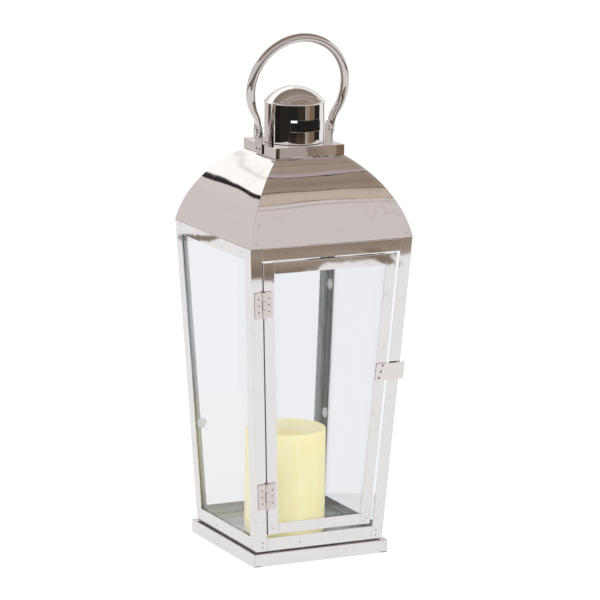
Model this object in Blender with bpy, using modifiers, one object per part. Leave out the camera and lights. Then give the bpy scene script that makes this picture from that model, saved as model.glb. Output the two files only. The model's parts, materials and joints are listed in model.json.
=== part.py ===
"""Candle lantern of polished sheet steel: four glazed sides that widen upwards, a hinged glass door with a
spring latch, a domed roof with a slotted chimney, a swinging ring handle, and a battery-lit pillar candle.

Metres, +Z up. The origin is the middle of the base's underside, and the door faces -Y.
"""

import math

import bmesh
import bpy
from mathutils import Matrix, Vector

MM = 0.001
GAP = 0.3 * MM  # clearance between pieces that touch on the real lantern
SHEET = 1.0 * MM  # steel sheet
GLASS = 2.0 * MM

# Base tray and the glazed body, whose half-width grows linearly from its foot to its shoulder.
BASE_HALF = 71.0 * MM
BASE_HEIGHT = 12.3 * MM
BASE_HEM = 8.0 * MM
BODY_FOOT_Z = 13.6 * MM
BODY_FOOT_HALF = 67.3 * MM
SHOULDER_Z = 310.0 * MM
SHOULDER_HALF = 85.1 * MM
TAPER = (SHOULDER_HALF - BODY_FOOT_HALF) / (SHOULDER_Z - BODY_FOOT_Z)
FLOOR_Z = 18.0 * MM
FLOOR_HALF = 65.9 * MM
POST_LEG = 12.0 * MM
BOTTOM_RAIL_TOP_Z = 26.4 * MM
TOP_RAIL_BOTTOM_Z = 297.8 * MM
RAIL_LIP = 8.0 * MM
PANE_INSET = 4.2 * MM

# Door, measured in from the body's left and right outer edges.
DOOR_BOTTOM_Z = 29.6 * MM
DOOR_TOP_Z = 296.0 * MM
DOOR_HINGE_INSET = 13.3 * MM
DOOR_LATCH_INSET = 15.0 * MM
STILE = 11.0 * MM
DOOR_DEPTH = 5.0 * MM
DOOR_PANE_DEPTH = 2.2 * MM
HINGE_HEIGHT = 25.4 * MM
HINGE_Z = (68.3 * MM, 256.0 * MM)
HINGE_INSET = 12.65 * MM
HINGE_STAND_OFF = 1.9 * MM
LEAF_WIDTH = 9.2 * MM
LEAF_THICK = 0.8 * MM
KNUCKLE_R = 1.6 * MM
KNUCKLE_BORE_R = 0.9 * MM
HINGE_PIN_R = 0.6 * MM

# Spring latch: a strip riveted to the door, whose arm reaches over the post and hooks round its edge.
LATCH_Z = (172.6 * MM, 189.0 * MM)
LATCH_THICK = 0.8 * MM
LATCH_RISE = 1.6 * MM
LATCH_REACH = 2.0 * MM
LATCH_HOOK = 4.6 * MM
LATCH_RIVET_R = 0.8 * MM

# Roof: four curved panels whose section is one arc, then a square collar, a round chimney and its cap.
ROOF_ARC_HALF = -29.5 * MM
ROOF_ARC_Z = 287.1 * MM
ROOF_ARC_R = 116.9 * MM
ROOF_TOP_Z = 384.2 * MM
ROOF_STEPS = 14
COLLAR_HALF = 36.0 * MM
COLLAR_TOP_Z = 394.4 * MM
CHIMNEY_R = 28.7 * MM
CHIMNEY_TOP_Z = 432.0 * MM
FLUE_R = 26.0 * MM
SLOT_HALF = 15.3 * MM
SLOT_Z = (407.0 * MM, 418.0 * MM)
CAP_RISE = 14.2 * MM

# Ring handle: a tube bent to a circle, with its two ends flattened into lugs outside the brackets.
PIVOT_Z = 405.0 * MM
BRACKET_HALF = 7.6 * MM
BRACKET_THICK = 1.2 * MM
BRACKET_X = COLLAR_HALF + GAP
BRACKET_RIVET_Z = 389.0 * MM
BRACKET_RIVET_Y = 3.4 * MM
BRACKET_RIVET_R = 0.9 * MM
LUG_X = BRACKET_X + BRACKET_THICK + GAP
LUG_THICK = 2.6 * MM
LUG_HALF = 6.2 * MM
PIVOT_R = 1.7 * MM
PIVOT_HOLE_R = 2.0 * MM
RING_R = 49.3 * MM
RING_RISE = 42.2 * MM
RING_TUBE_R = 4.2 * MM
HANDLE_LEAN = math.radians(10.0)

# Battery candle.
CANDLE_X = -14.0 * MM
CANDLE_Y = -19.5 * MM
CANDLE_R = 38.0 * MM
CANDLE_Z = FLOOR_Z + GAP
CANDLE_HEIGHT = 103.0 * MM
CANDLE_WALL = 7.0 * MM
RECESS_DEPTH = 9.0 * MM
MODULE_Z = CANDLE_Z + 0.8 * MM
MODULE_HEIGHT = 28.0 * MM
BATTERY_R = 7.1 * MM
BATTERY_LENGTH = 50.0 * MM
BATTERY_BAY = (54.0 * MM, 32.0 * MM, 19.0 * MM)
SWITCH_SLOT = (10.0 * MM, 5.0 * MM, 4.0 * MM)
SWITCH_Y = -22.0 * MM
SWITCH_KNOB = 4.4 * MM

STEEL = ("polished_steel", (0.84, 0.82, 0.81), 0.08, 1.0)
GALVANISED = ("galvanised_steel", (0.45, 0.48, 0.48), 0.35, 1.0)
BRIGHT = ("bright_fastener", (0.75, 0.74, 0.73), 0.2, 1.0)
CLEAR = ("clear_glass", (0.86, 0.93, 0.93), 0.02, 0.0)
WAX = ("ivory_wax", (0.90, 0.82, 0.52), 0.5, 0.0)
PLASTIC = ("ivory_plastic", (0.80, 0.76, 0.62), 0.45, 0.0)
BLACK = ("black_plastic", (0.05, 0.05, 0.05), 0.4, 0.0)
CELL = ("battery_jacket", (0.20, 0.22, 0.25), 0.35, 0.6)
LAMP = ("amber_lens", (0.95, 0.70, 0.30), 0.1, 0.0)


def body_half(z):
    """The glazed body's outer half-width at a height."""
    return BODY_FOOT_HALF + TAPER * (z - BODY_FOOT_Z)


# ---------------------------------------------------------------- making objects


def clear_scene():
    for obj in list(bpy.data.objects):
        bpy.data.objects.remove(obj, do_unlink=True)


def collection(name):
    made = bpy.data.collections.new(name)
    bpy.context.scene.collection.children.link(made)
    return made


def material(spec):
    name, colour, roughness, metallic = spec
    if name in bpy.data.materials:
        return bpy.data.materials[name]
    made = bpy.data.materials.new(name)
    made.use_nodes = True
    made.diffuse_color = (*colour, 1.0)
    shader = made.node_tree.nodes["Principled BSDF"]
    shader.inputs["Base Color"].default_value = (*colour, 1.0)
    shader.inputs["Roughness"].default_value = roughness
    shader.inputs["Metallic"].default_value = metallic
    if spec is CLEAR:
        shader.inputs["Transmission Weight"].default_value = 1.0
    return made


def add_object(name, bm, spec, into="candle_lantern"):
    """Turns a bmesh into an object whose normals face out, in the named collection."""
    bmesh.ops.recalc_face_normals(bm, faces=bm.faces)
    mesh = bpy.data.meshes.new(name)
    bm.to_mesh(mesh)
    bm.free()
    obj = bpy.data.objects.new(name, mesh)
    bpy.data.collections[into].objects.link(obj)
    if spec:
        mesh.materials.append(material(spec))
        mesh.shade_smooth()
        mesh.set_sharp_from_angle(angle=math.radians(35.0))
    return obj


def extrude_face(bm, points):
    """Makes a face through the points and extrudes it in place: returns the new end's vertices, in order."""
    start = [bm.verts.new(p) for p in points]
    made = bmesh.ops.extrude_face_region(bm, geom=[bm.faces.new(start)])
    ends = [v for v in made["geom"] if isinstance(v, bmesh.types.BMVert)]
    return [min(ends, key=lambda v: (v.co - s.co).length) for s in start]


def cross_bar(name, outline, left, right, spec, quarter=0):
    """A bar along X with the closed outline [(y, z)] as its section, ending where left(y, z) and
    right(y, z) say. quarter turns it about Z to the body's other sides."""
    bm = bmesh.new()
    ends = extrude_face(bm, [(left(y, z), y, z) for y, z in outline])
    for vert in ends:
        vert.co.x = right(vert.co.y, vert.co.z)
    obj = add_object(name, bm, spec)
    obj.rotation_euler.z = quarter * math.pi / 2
    return obj


def leaning_bar(name, outline, z_low, z_high, lean, spec):
    """An upright bar whose section at z_low is the closed outline [(x, y)]. It leans by lean = (x, y)
    metres for each metre of height, so it can follow the body's tapering corners."""
    bm = bmesh.new()
    shift = Vector((lean[0], lean[1], 1.0)) * (z_high - z_low)
    for vert in extrude_face(bm, [(x, y, z_low) for x, y in outline]):
        vert.co += shift
    return add_object(name, bm, spec)


def box(name, low, high, spec, into="candle_lantern"):
    """A box between two corners, with its origin at its middle."""
    low, high = Vector(low), Vector(high)
    bm = bmesh.new()
    bmesh.ops.create_cube(bm, size=1.0)
    bmesh.ops.scale(bm, vec=high - low, verts=bm.verts)
    obj = add_object(name, bm, spec, into)
    obj.location = (low + high) / 2
    return obj


def turned(name, profile, spec, steps=32, into="candle_lantern"):
    """A shape of revolution about Z from the profile [(radius, z)], which runs top to bottom outside."""
    mesh = bpy.data.meshes.new(name)
    edges = [(i, i + 1) for i in range(len(profile) - 1)]
    mesh.from_pydata([(r, 0.0, z) for r, z in profile], edges, [])
    obj = bpy.data.objects.new(name, mesh)
    bpy.data.collections[into].objects.link(obj)
    if spec:
        mesh.materials.append(material(spec))
    screw = obj.modifiers.new("turn", "SCREW")
    screw.steps = steps
    screw.render_steps = steps
    screw.use_merge_vertices = True
    screw.merge_threshold = 0.000005
    screw.use_smooth_shade = True
    return obj


def cutter(obj):
    obj.hide_render = True
    obj.display_type = "WIRE"
    return obj


def drill(name, radius, length, location, rotation=(0.0, 0.0, 0.0), matrix=None):
    """A round cutter centred on location and running along its own Z."""
    bm = bmesh.new()
    bmesh.ops.create_cone(
        bm, cap_ends=True, segments=24, radius1=radius, radius2=radius, depth=length
    )
    obj = add_object(name, bm, None, "cutters")
    obj.location = location
    obj.rotation_euler = rotation
    if matrix:
        obj.matrix_world = matrix @ obj.matrix_basis
    return cutter(obj)


def boolean(obj, other, operation="DIFFERENCE"):
    modifier = obj.modifiers.new(operation.lower(), "BOOLEAN")
    modifier.operation = operation
    modifier.solver = "EXACT"
    modifier.object = other
    return obj


def arc(centre, radius, start, end, steps):
    """Points on an arc, in degrees, both ends included."""
    angles = [math.radians(start + (end - start) * i / steps) for i in range(steps + 1)]
    return [(centre[0] + radius * math.cos(a), centre[1] + radius * math.sin(a)) for a in angles]


# ---------------------------------------------------------------- base and frame


def make_base():
    """The base tray, open underneath inside its turned-in hem, and the floor tray that stands on it."""
    for name, half, low, high, spec in (
        ("base_plinth", BASE_HALF, 0.0, BASE_HEIGHT, STEEL),
        ("floor_plate", FLOOR_HALF, BASE_HEIGHT + GAP, FLOOR_Z, GALVANISED),
    ):
        tray = box(name, (-half, -half, low), (half, half, high), spec)
        hemmed = name == "base_plinth"
        hollow = box(
            name + "_hollow",
            (-half + SHEET, -half + SHEET, low + (SHEET if hemmed else -SHEET)),
            (half - SHEET, half - SHEET, high - SHEET),
            None,
            "cutters",
        )
        boolean(tray, cutter(hollow))
        if hemmed:
            hole = half - BASE_HEM
            opening = box("base_opening", (-hole, -hole, -SHEET), (hole, hole, 3 * SHEET), None, "cutters")
            boolean(tray, cutter(opening))


def make_posts():
    """Four L-angle corner posts. Each leg lies in one tapering side of the body."""
    corners = (("front_left", -1, -1), ("front_right", 1, -1), ("rear_right", 1, 1), ("rear_left", -1, 1))
    half = BODY_FOOT_HALF
    leg = half - POST_LEG
    inner = half - SHEET
    section = ((half, half), (leg, half), (leg, inner), (inner, inner), (inner, leg), (half, leg))
    for name, x, y in corners:
        outline = [(x * a, y * b) for a, b in section]
        leaning_bar("post_" + name, outline, BODY_FOOT_Z, SHOULDER_Z, (x * TAPER, y * TAPER), STEEL)


def wall(z_low, z_high, front, back):
    """The section of a flat strip in the body's tapering front, between two depths behind its surface."""
    return [
        (-body_half(z_low) + front, z_low),
        (-body_half(z_high) + front, z_high),
        (-body_half(z_high) + back, z_high),
        (-body_half(z_low) + back, z_low),
    ]


def make_rails():
    """A bottom and a top rail between the posts on each side. The top rail's lip carries the roof."""
    ends = POST_LEG + GAP
    low = wall(BODY_FOOT_Z, BOTTOM_RAIL_TOP_Z, 0.0, SHEET)
    high = wall(TOP_RAIL_BOTTOM_Z, SHOULDER_Z, 0.0, SHEET)
    lip_z = SHOULDER_Z - SHEET
    lip_y = high[2][0] + RAIL_LIP
    lip = [(lip_y, SHOULDER_Z), (lip_y, lip_z), (-body_half(lip_z) + SHEET, lip_z)]
    high = high[:2] + lip + high[3:]
    for quarter, side in enumerate(("front", "right", "rear", "left")):
        for name, outline in (("bottom_rail_", low), ("top_rail_", high)):
            cross_bar(
                name + side,
                outline,
                lambda y, z: ends - body_half(z),
                lambda y, z: body_half(z) - ends,
                STEEL,
                quarter,
            )


def make_panes():
    """The three fixed panes stand on the floor tray, behind the posts and rails."""
    outline = wall(FLOOR_Z + GAP, SHOULDER_Z - SHEET - GAP, SHEET + GAP, SHEET + GAP + GLASS)
    for quarter, side in ((1, "right"), (2, "rear"), (3, "left")):
        cross_bar(
            "glass_" + side,
            outline,
            lambda y, z: PANE_INSET - body_half(z),
            lambda y, z: body_half(z) - PANE_INSET,
            CLEAR,
            quarter,
        )


# ---------------------------------------------------------------- door, hinges and latch


def make_door():
    """Two folded stiles, two folded rails and a pane. The folds turn inwards round the door's edge."""
    foot = body_half(DOOR_BOTTOM_Z)
    back = SHEET - foot
    fold = DOOR_DEPTH - foot
    for name, side, inset in (("hinge", -1, DOOR_HINGE_INSET), ("latch", 1, DOOR_LATCH_INSET)):
        edge = foot - inset
        section = (
            (edge, -foot),
            (edge - STILE, -foot),
            (edge - STILE, back),
            (edge - SHEET, back),
            (edge - SHEET, fold),
            (edge, fold),
        )
        leaning_bar(
            f"door_stile_{name}",
            [(side * x, y) for x, y in section],
            DOOR_BOTTOM_Z,
            DOOR_TOP_Z,
            (side * TAPER, -TAPER),
            STEEL,
        )
    left = DOOR_HINGE_INSET + STILE + GAP
    right = DOOR_LATCH_INSET + STILE + GAP
    for name, edge_z, inward in (("bottom", DOOR_BOTTOM_Z, 1), ("top", DOOR_TOP_Z, -1)):
        inner_z = edge_z + inward * STILE
        fold_z = edge_z + inward * SHEET
        outline = [
            (-body_half(edge_z), edge_z),
            (-body_half(inner_z), inner_z),
            (-body_half(inner_z) + SHEET, inner_z),
            (-body_half(fold_z) + SHEET, fold_z),
            (-body_half(fold_z) + DOOR_DEPTH, fold_z),
            (-body_half(edge_z) + DOOR_DEPTH, edge_z),
        ]
        cross_bar(
            f"door_rail_{name}",
            outline,
            lambda y, z: left - body_half(z),
            lambda y, z: body_half(z) - right,
            STEEL,
        )
    margin = SHEET + 2 * GAP
    cross_bar(
        "door_glass",
        wall(DOOR_BOTTOM_Z + margin, DOOR_TOP_Z - margin, DOOR_PANE_DEPTH, DOOR_PANE_DEPTH + GLASS),
        lambda y, z: DOOR_HINGE_INSET + margin - body_half(z),
        lambda y, z: body_half(z) - DOOR_LATCH_INSET - margin,
        CLEAR,
    )


def face_matrix(inset, z, side, stand_off):
    """Axes on the front face at a height: Z follows the body's corner, Y points into the lantern. The
    origin is inset from the body's left (side -1) or right (side 1) edge, and stands off the face."""
    slope = math.atan(TAPER)
    inward = Vector((0.0, math.cos(slope), math.sin(slope)))
    along = Vector((side * TAPER, -TAPER, 1.0)).normalized()
    across = inward.cross(along)
    origin = Vector((side * (body_half(z) - inset), -body_half(z), z)) - inward * stand_off
    axes = Matrix((across, inward, along)).transposed().to_4x4()
    return Matrix.Translation(origin) @ axes


def make_hinge_leaf(name, side, knuckles, matrix):
    """One leaf of a butt hinge, to the left (-1) or right (1) of the pin, with its own knuckles."""
    clear = KNUCKLE_R + GAP
    front = HINGE_STAND_OFF - GAP - LEAF_THICK
    back = HINGE_STAND_OFF - GAP
    plate = ((side * clear, front), (side * LEAF_WIDTH, back))
    low = [min(a, b) for a, b in zip(*plate)]
    high = [max(a, b) for a, b in zip(*plate)]
    half = HINGE_HEIGHT / 2
    leaf = box(name, (*low, -half), (*high, half), STEEL)
    leaf.matrix_world = matrix @ leaf.matrix_basis
    pitch = HINGE_HEIGHT / 3
    for knuckle in knuckles:
        middle = (knuckle - 1) * pitch
        length = pitch - GAP
        tag = f"{name}_knuckle_{knuckle}"
        bridge_x = sorted((side * KNUCKLE_R * 0.75, side * (clear + GAP)))
        bridge = box(
            tag + "_bridge",
            (bridge_x[0], front, middle - length / 2),
            (bridge_x[1], back, middle + length / 2),
            None,
            "cutters",
        )
        bridge.matrix_world = matrix @ bridge.matrix_basis
        barrel = drill(tag, KNUCKLE_R, length, (0.0, 0.0, middle), matrix=matrix)
        boolean(leaf, cutter(bridge), "UNION")
        boolean(leaf, barrel, "UNION")
    bore = drill(name + "_bore", KNUCKLE_BORE_R, 2 * HINGE_HEIGHT, (0.0, 0.0, 0.0), matrix=matrix)
    return boolean(leaf, bore)


def make_hinges():
    """Two butt hinges: the outer knuckles are the frame leaf's, and the middle one is the door leaf's."""
    for name, z in zip(("lower", "upper"), HINGE_Z):
        matrix = face_matrix(HINGE_INSET, z, -1, HINGE_STAND_OFF)
        make_hinge_leaf(f"hinge_{name}_frame_leaf", -1, (0, 2), matrix)
        make_hinge_leaf(f"hinge_{name}_door_leaf", 1, (1,), matrix)
        half = HINGE_HEIGHT / 2 + GAP
        head = KNUCKLE_R * 0.8
        pin = turned(
            f"hinge_{name}_pin",
            [
                (0.0, half + 2 * GAP),
                (head, half + GAP),
                (head, half),
                (HINGE_PIN_R, half),
                (HINGE_PIN_R, -half),
                (head, -half),
                (head, -half - GAP),
                (0.0, -half - 2 * GAP),
            ],
            BRIGHT,
            12,
        )
        pin.matrix_world = matrix


def strip_outline(path, thickness):
    """The closed outline of a bent strip, from the path [(x, y)] of its middle line."""
    points = [Vector(p) for p in path]
    sides = ([], [])
    for i, point in enumerate(points):
        before = (point - points[i - 1]).normalized() if i else None
        after = (points[i + 1] - point).normalized() if i + 1 < len(points) else None
        along = ((before or after) + (after or before)).normalized()
        normal = Vector((-along.y, along.x))
        reach = thickness / 2 / max(0.5, along.dot(after or before))
        sides[0].append(point + normal * reach)
        sides[1].append(point - normal * reach)
    return [tuple(p) for p in sides[0] + sides[1][::-1]]


def make_latch():
    """The strip is one spring: its riveted plate stays on the door, and its arm flexes about the bend."""
    z_low, z_high = LATCH_Z
    half = body_half(z_low)
    edge = half - DOOR_LATCH_INSET
    surface = -half - GAP - LATCH_THICK / 2
    lean = (TAPER, -TAPER)
    plate_path = [(edge - STILE + GAP, surface), (edge - GAP, surface)]
    plate = leaning_bar("latch_plate", strip_outline(plate_path, LATCH_THICK), z_low, z_high, lean, STEEL)
    arm_y = surface - LATCH_RISE
    bend = 2.0 * MM
    hook = arc((half + LATCH_REACH, arm_y + bend), bend, -90.0, -14.0, 5)
    tip = Vector(hook[-1]) + Vector((math.sin(math.radians(14.0)), math.cos(math.radians(14.0)))) * (
        LATCH_HOOK - bend
    )
    rise_end = edge + 3.4 * MM
    arm_path = [(edge, surface), (edge + 0.8 * MM, surface), (rise_end, arm_y), *hook, tuple(tip)]
    leaning_bar("latch_arm", strip_outline(arm_path, LATCH_THICK), z_low, z_high, lean, STEEL)
    stile = bpy.data.objects["door_stile_latch"]
    middle = (z_low + z_high) / 2
    for name, step in (("lower", -1), ("middle", 0), ("upper", 1)):
        z = middle + step * 6.0 * MM
        inset = DOOR_LATCH_INSET + STILE / 2 - step * 1.4 * MM
        matrix = face_matrix(inset, z, 1, 0.0)
        turn = matrix @ Matrix.Rotation(math.pi / 2, 4, "X")
        hole = drill(f"latch_hole_{name}", LATCH_RIVET_R + GAP, 12 * MM, (0.0, 0.0, 0.0), matrix=turn)
        boolean(plate, hole)
        boolean(stile, hole)
        outside = LATCH_THICK + 2 * GAP
        make_rivet(f"latch_rivet_{name}", LATCH_RIVET_R, 1.5 * MM, outside, SHEET + GAP, turn)


def make_rivet(name, shank_r, head_r, top, bottom, matrix):
    """A rivet along its own Z: a domed head above top, a flat one below -bottom."""
    head = 0.35 * head_r
    profile = [
        (0.0, top + head),
        (0.6 * head_r, top + 0.8 * head),
        (head_r, top + 0.2 * head),
        (head_r, top),
        (shank_r, top),
        (shank_r, -bottom),
        (head_r, -bottom),
        (head_r, -bottom - 0.7 * head),
        (0.0, -bottom - 0.7 * head),
    ]
    rivet = turned(name, profile, BRIGHT, 10)
    rivet.matrix_world = matrix
    return rivet


# ---------------------------------------------------------------- roof and chimney


def make_roof():
    """Four curved panels, mitred where they meet along the hips."""
    low, high = SHOULDER_Z + GAP, ROOF_TOP_Z
    start = math.asin((low - ROOF_ARC_Z) / ROOF_ARC_R)
    end = math.asin((high - ROOF_ARC_Z) / ROOF_ARC_R)
    outer, inner = [], []
    for i in range(ROOF_STEPS + 1):
        angle = start + (end - start) * i / ROOF_STEPS
        for points, radius in ((outer, ROOF_ARC_R), (inner, ROOF_ARC_R - SHEET)):
            half = ROOF_ARC_HALF + radius * math.cos(angle)
            points.append((-half, ROOF_ARC_Z + radius * math.sin(angle)))
    for quarter, side in enumerate(("front", "right", "rear", "left")):
        cross_bar(
            "roof_" + side,
            outer + inner[::-1],
            lambda y, z: y + GAP / 2,
            lambda y, z: -y - GAP / 2,
            STEEL,
            quarter,
        )


def make_collar():
    """The square cap on the roof's top: a shallow tray, upside down, with a round hole for the flue."""
    low = ROOF_TOP_Z + GAP
    half = COLLAR_HALF
    collar = box("roof_collar", (-half, -half, low), (half, half, COLLAR_TOP_Z), STEEL)
    hollow = box(
        "collar_hollow",
        (-half + SHEET, -half + SHEET, low - SHEET),
        (half - SHEET, half - SHEET, COLLAR_TOP_Z - SHEET),
        None,
        "cutters",
    )
    boolean(collar, cutter(hollow))
    boolean(collar, drill("collar_flue", FLUE_R, 6 * SHEET, (0.0, 0.0, COLLAR_TOP_Z)))
    return collar


def make_chimney():
    """A tube with a smoke slot at the front and the rear, under a domed cap that plugs into it."""
    low = COLLAR_TOP_Z + GAP
    inner = CHIMNEY_R - SHEET
    profile = [(CHIMNEY_R, CHIMNEY_TOP_Z), (CHIMNEY_R, low), (inner, low), (inner, CHIMNEY_TOP_Z)]
    tube = turned("chimney_tube", profile + profile[:1], STEEL, 40)
    slots = box(
        "chimney_slots",
        (-SLOT_HALF, -2 * CHIMNEY_R, SLOT_Z[0]),
        (SLOT_HALF, 2 * CHIMNEY_R, SLOT_Z[1]),
        None,
        "cutters",
    )
    boolean(tube, cutter(slots))
    brim_z = CHIMNEY_TOP_Z + GAP
    brim_r = CHIMNEY_R + 0.7 * MM
    dome_r = CHIMNEY_R - 0.3 * MM
    plug_r = inner - GAP
    radius = (dome_r**2 + CAP_RISE**2) / (2 * CAP_RISE)
    centre_z = brim_z + SHEET + CAP_RISE - radius
    edge = math.degrees(math.asin((radius - CAP_RISE) / radius))
    outer = arc((0.0, centre_z), radius, 90.0, edge, 7)
    under = arc((0.0, centre_z), radius - SHEET, edge + 4.0, 90.0, 4)
    outer[0] = (0.0, outer[0][1])
    under[-1] = (0.0, under[-1][1])
    rim = [
        (brim_r, brim_z + SHEET),
        (brim_r, brim_z),
        (plug_r, brim_z),
        (plug_r, brim_z - 4 * SHEET),
        (plug_r - SHEET, brim_z - 4 * SHEET),
        (plug_r - SHEET, under[0][1]),
    ]
    turned("chimney_cap", outer + rim + under, STEEL, 36)


# ---------------------------------------------------------------- handle


def make_brackets(collar):
    """A strap on each side of the collar, held by two rivets, with the pivot's hole near its round top."""
    for name, side in (("left", -1), ("right", 1)):
        outline = [(-BRACKET_HALF, ROOF_TOP_Z + GAP), (BRACKET_HALF, ROOF_TOP_Z + GAP)]
        outline += arc((0.0, PIVOT_Z), BRACKET_HALF, 0.0, 180.0, 12)
        bm = bmesh.new()
        for vert in extrude_face(bm, [(BRACKET_X, y, z) for y, z in outline]):
            vert.co.x += BRACKET_THICK
        bmesh.ops.scale(bm, vec=(side, 1.0, 1.0), verts=bm.verts)
        bracket = add_object("handle_bracket_" + name, bm, STEEL)
        outward = Matrix.Rotation(side * math.pi / 2, 4, "Y")
        pivot = Matrix.Translation((side * BRACKET_X, 0.0, PIVOT_Z)) @ outward
        boolean(bracket, drill("pivot_hole_" + name, PIVOT_HOLE_R, 12 * MM, (0.0, 0.0, 0.0), matrix=pivot))
        reach = LUG_X + LUG_THICK + GAP - BRACKET_X
        make_rivet("pivot_rivet_" + name, PIVOT_R, 3.3 * MM, reach, GAP, pivot)
        for row, y in (("front", -BRACKET_RIVET_Y), ("rear", BRACKET_RIVET_Y)):
            place = Matrix.Translation((side * BRACKET_X, y, BRACKET_RIVET_Z)) @ outward
            hole_r = BRACKET_RIVET_R + GAP
            hole = drill(f"bracket_hole_{name}_{row}", hole_r, 8 * MM, (0.0, 0.0, 0.0), matrix=place)
            boolean(bracket, hole)
            boolean(collar, hole)
            outside = BRACKET_THICK + GAP
            make_rivet(
                f"bracket_rivet_{name}_{row}", BRACKET_RIVET_R, 1.6 * MM, outside, SHEET + 2 * GAP, place
            )


def ring_path(lug_x):
    """The handle's middle line from the left lug's end to the top of the ring: [(x, z, flatness)].
    flatness is 1 on the flattened lug and 0 on the round tube."""
    meet = RING_RISE - math.sqrt(RING_R**2 - lug_x**2)
    low, high = meet - 5.0 * MM, meet + 5.0 * MM
    lug_end = -LUG_HALF * 0.97
    points = [(-lug_x, lug_end + (low - lug_end) * f, 1.0) for f in (0.0, 0.1, 0.3, 0.52, 0.8, 1.0)]
    start = math.asin((high - RING_RISE) / RING_R)
    after = (-RING_R * math.cos(start), high)
    for t in (0.3, 0.6):
        x = (1 - t) ** 2 * -lug_x + 2 * t * (1 - t) * -lug_x + t**2 * after[0]
        z = (1 - t) ** 2 * low + 2 * t * (1 - t) * meet + t**2 * after[1]
        points.append((x, z, 1.0 - 0.6 * t))
    steps = 14
    for i in range(steps + 1):
        angle = start + (math.pi / 2 - start) * i / steps
        flat = max(0.0, 0.45 - 0.25 * i)
        points.append((-RING_R * math.cos(angle), RING_RISE + RING_R * math.sin(angle), flat))
    return points


def make_handle():
    """The ring is a loft: its oval section turns from the round tube into the flat lug at each end."""
    lug_x = LUG_X + LUG_THICK / 2
    left = ring_path(lug_x)
    path = left + [(-x, z, flat) for x, z, flat in left[-2::-1]]
    sides = 14
    rings = []
    bm = bmesh.new()
    for i, (x, z, flat) in enumerate(path):
        before = path[max(0, i - 1)]
        after = path[min(len(path) - 1, i + 1)]
        along = Vector((after[0] - before[0], 0.0, after[1] - before[1])).normalized()
        across = Vector((along.z, 0.0, -along.x))
        deep = RING_TUBE_R + (LUG_THICK / 2 - RING_TUBE_R) * flat
        wide = RING_TUBE_R + (LUG_HALF - RING_TUBE_R) * flat
        if z < 0.0:
            wide = math.sqrt(max(LUG_HALF**2 - z**2, (0.18 * LUG_HALF) ** 2))
        power = 1.0 - 0.45 * flat
        ring = []
        for k in range(sides):
            angle = 2 * math.pi * (k + 0.5) / sides
            c, s = math.cos(angle), math.sin(angle)
            point = Vector((x, 0.0, z))
            point += across * deep * math.copysign(abs(c) ** power, c)
            point.y += wide * math.copysign(abs(s) ** power, s)
            ring.append(bm.verts.new(point))
        rings.append(ring)
    for ring, following in zip(rings, rings[1:]):
        for k in range(sides):
            nxt = (k + 1) % sides
            bm.faces.new((ring[k], ring[nxt], following[nxt], following[k]))
    bm.faces.new(rings[0])
    bm.faces.new(rings[-1])
    handle = add_object("handle_ring", bm, STEEL)
    axle = bpy.data.objects.new("handle_pivot", None)
    bpy.data.collections["candle_lantern"].objects.link(axle)
    axle.location.z = PIVOT_Z
    axle.rotation_euler.x = HANDLE_LEAN
    handle.parent = axle
    across = (0.0, math.pi / 2, 0.0)
    boolean(handle, drill("handle_holes", PIVOT_HOLE_R, 4 * RING_R, (0.0, 0.0, PIVOT_Z), across))


# ---------------------------------------------------------------- candle


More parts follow.
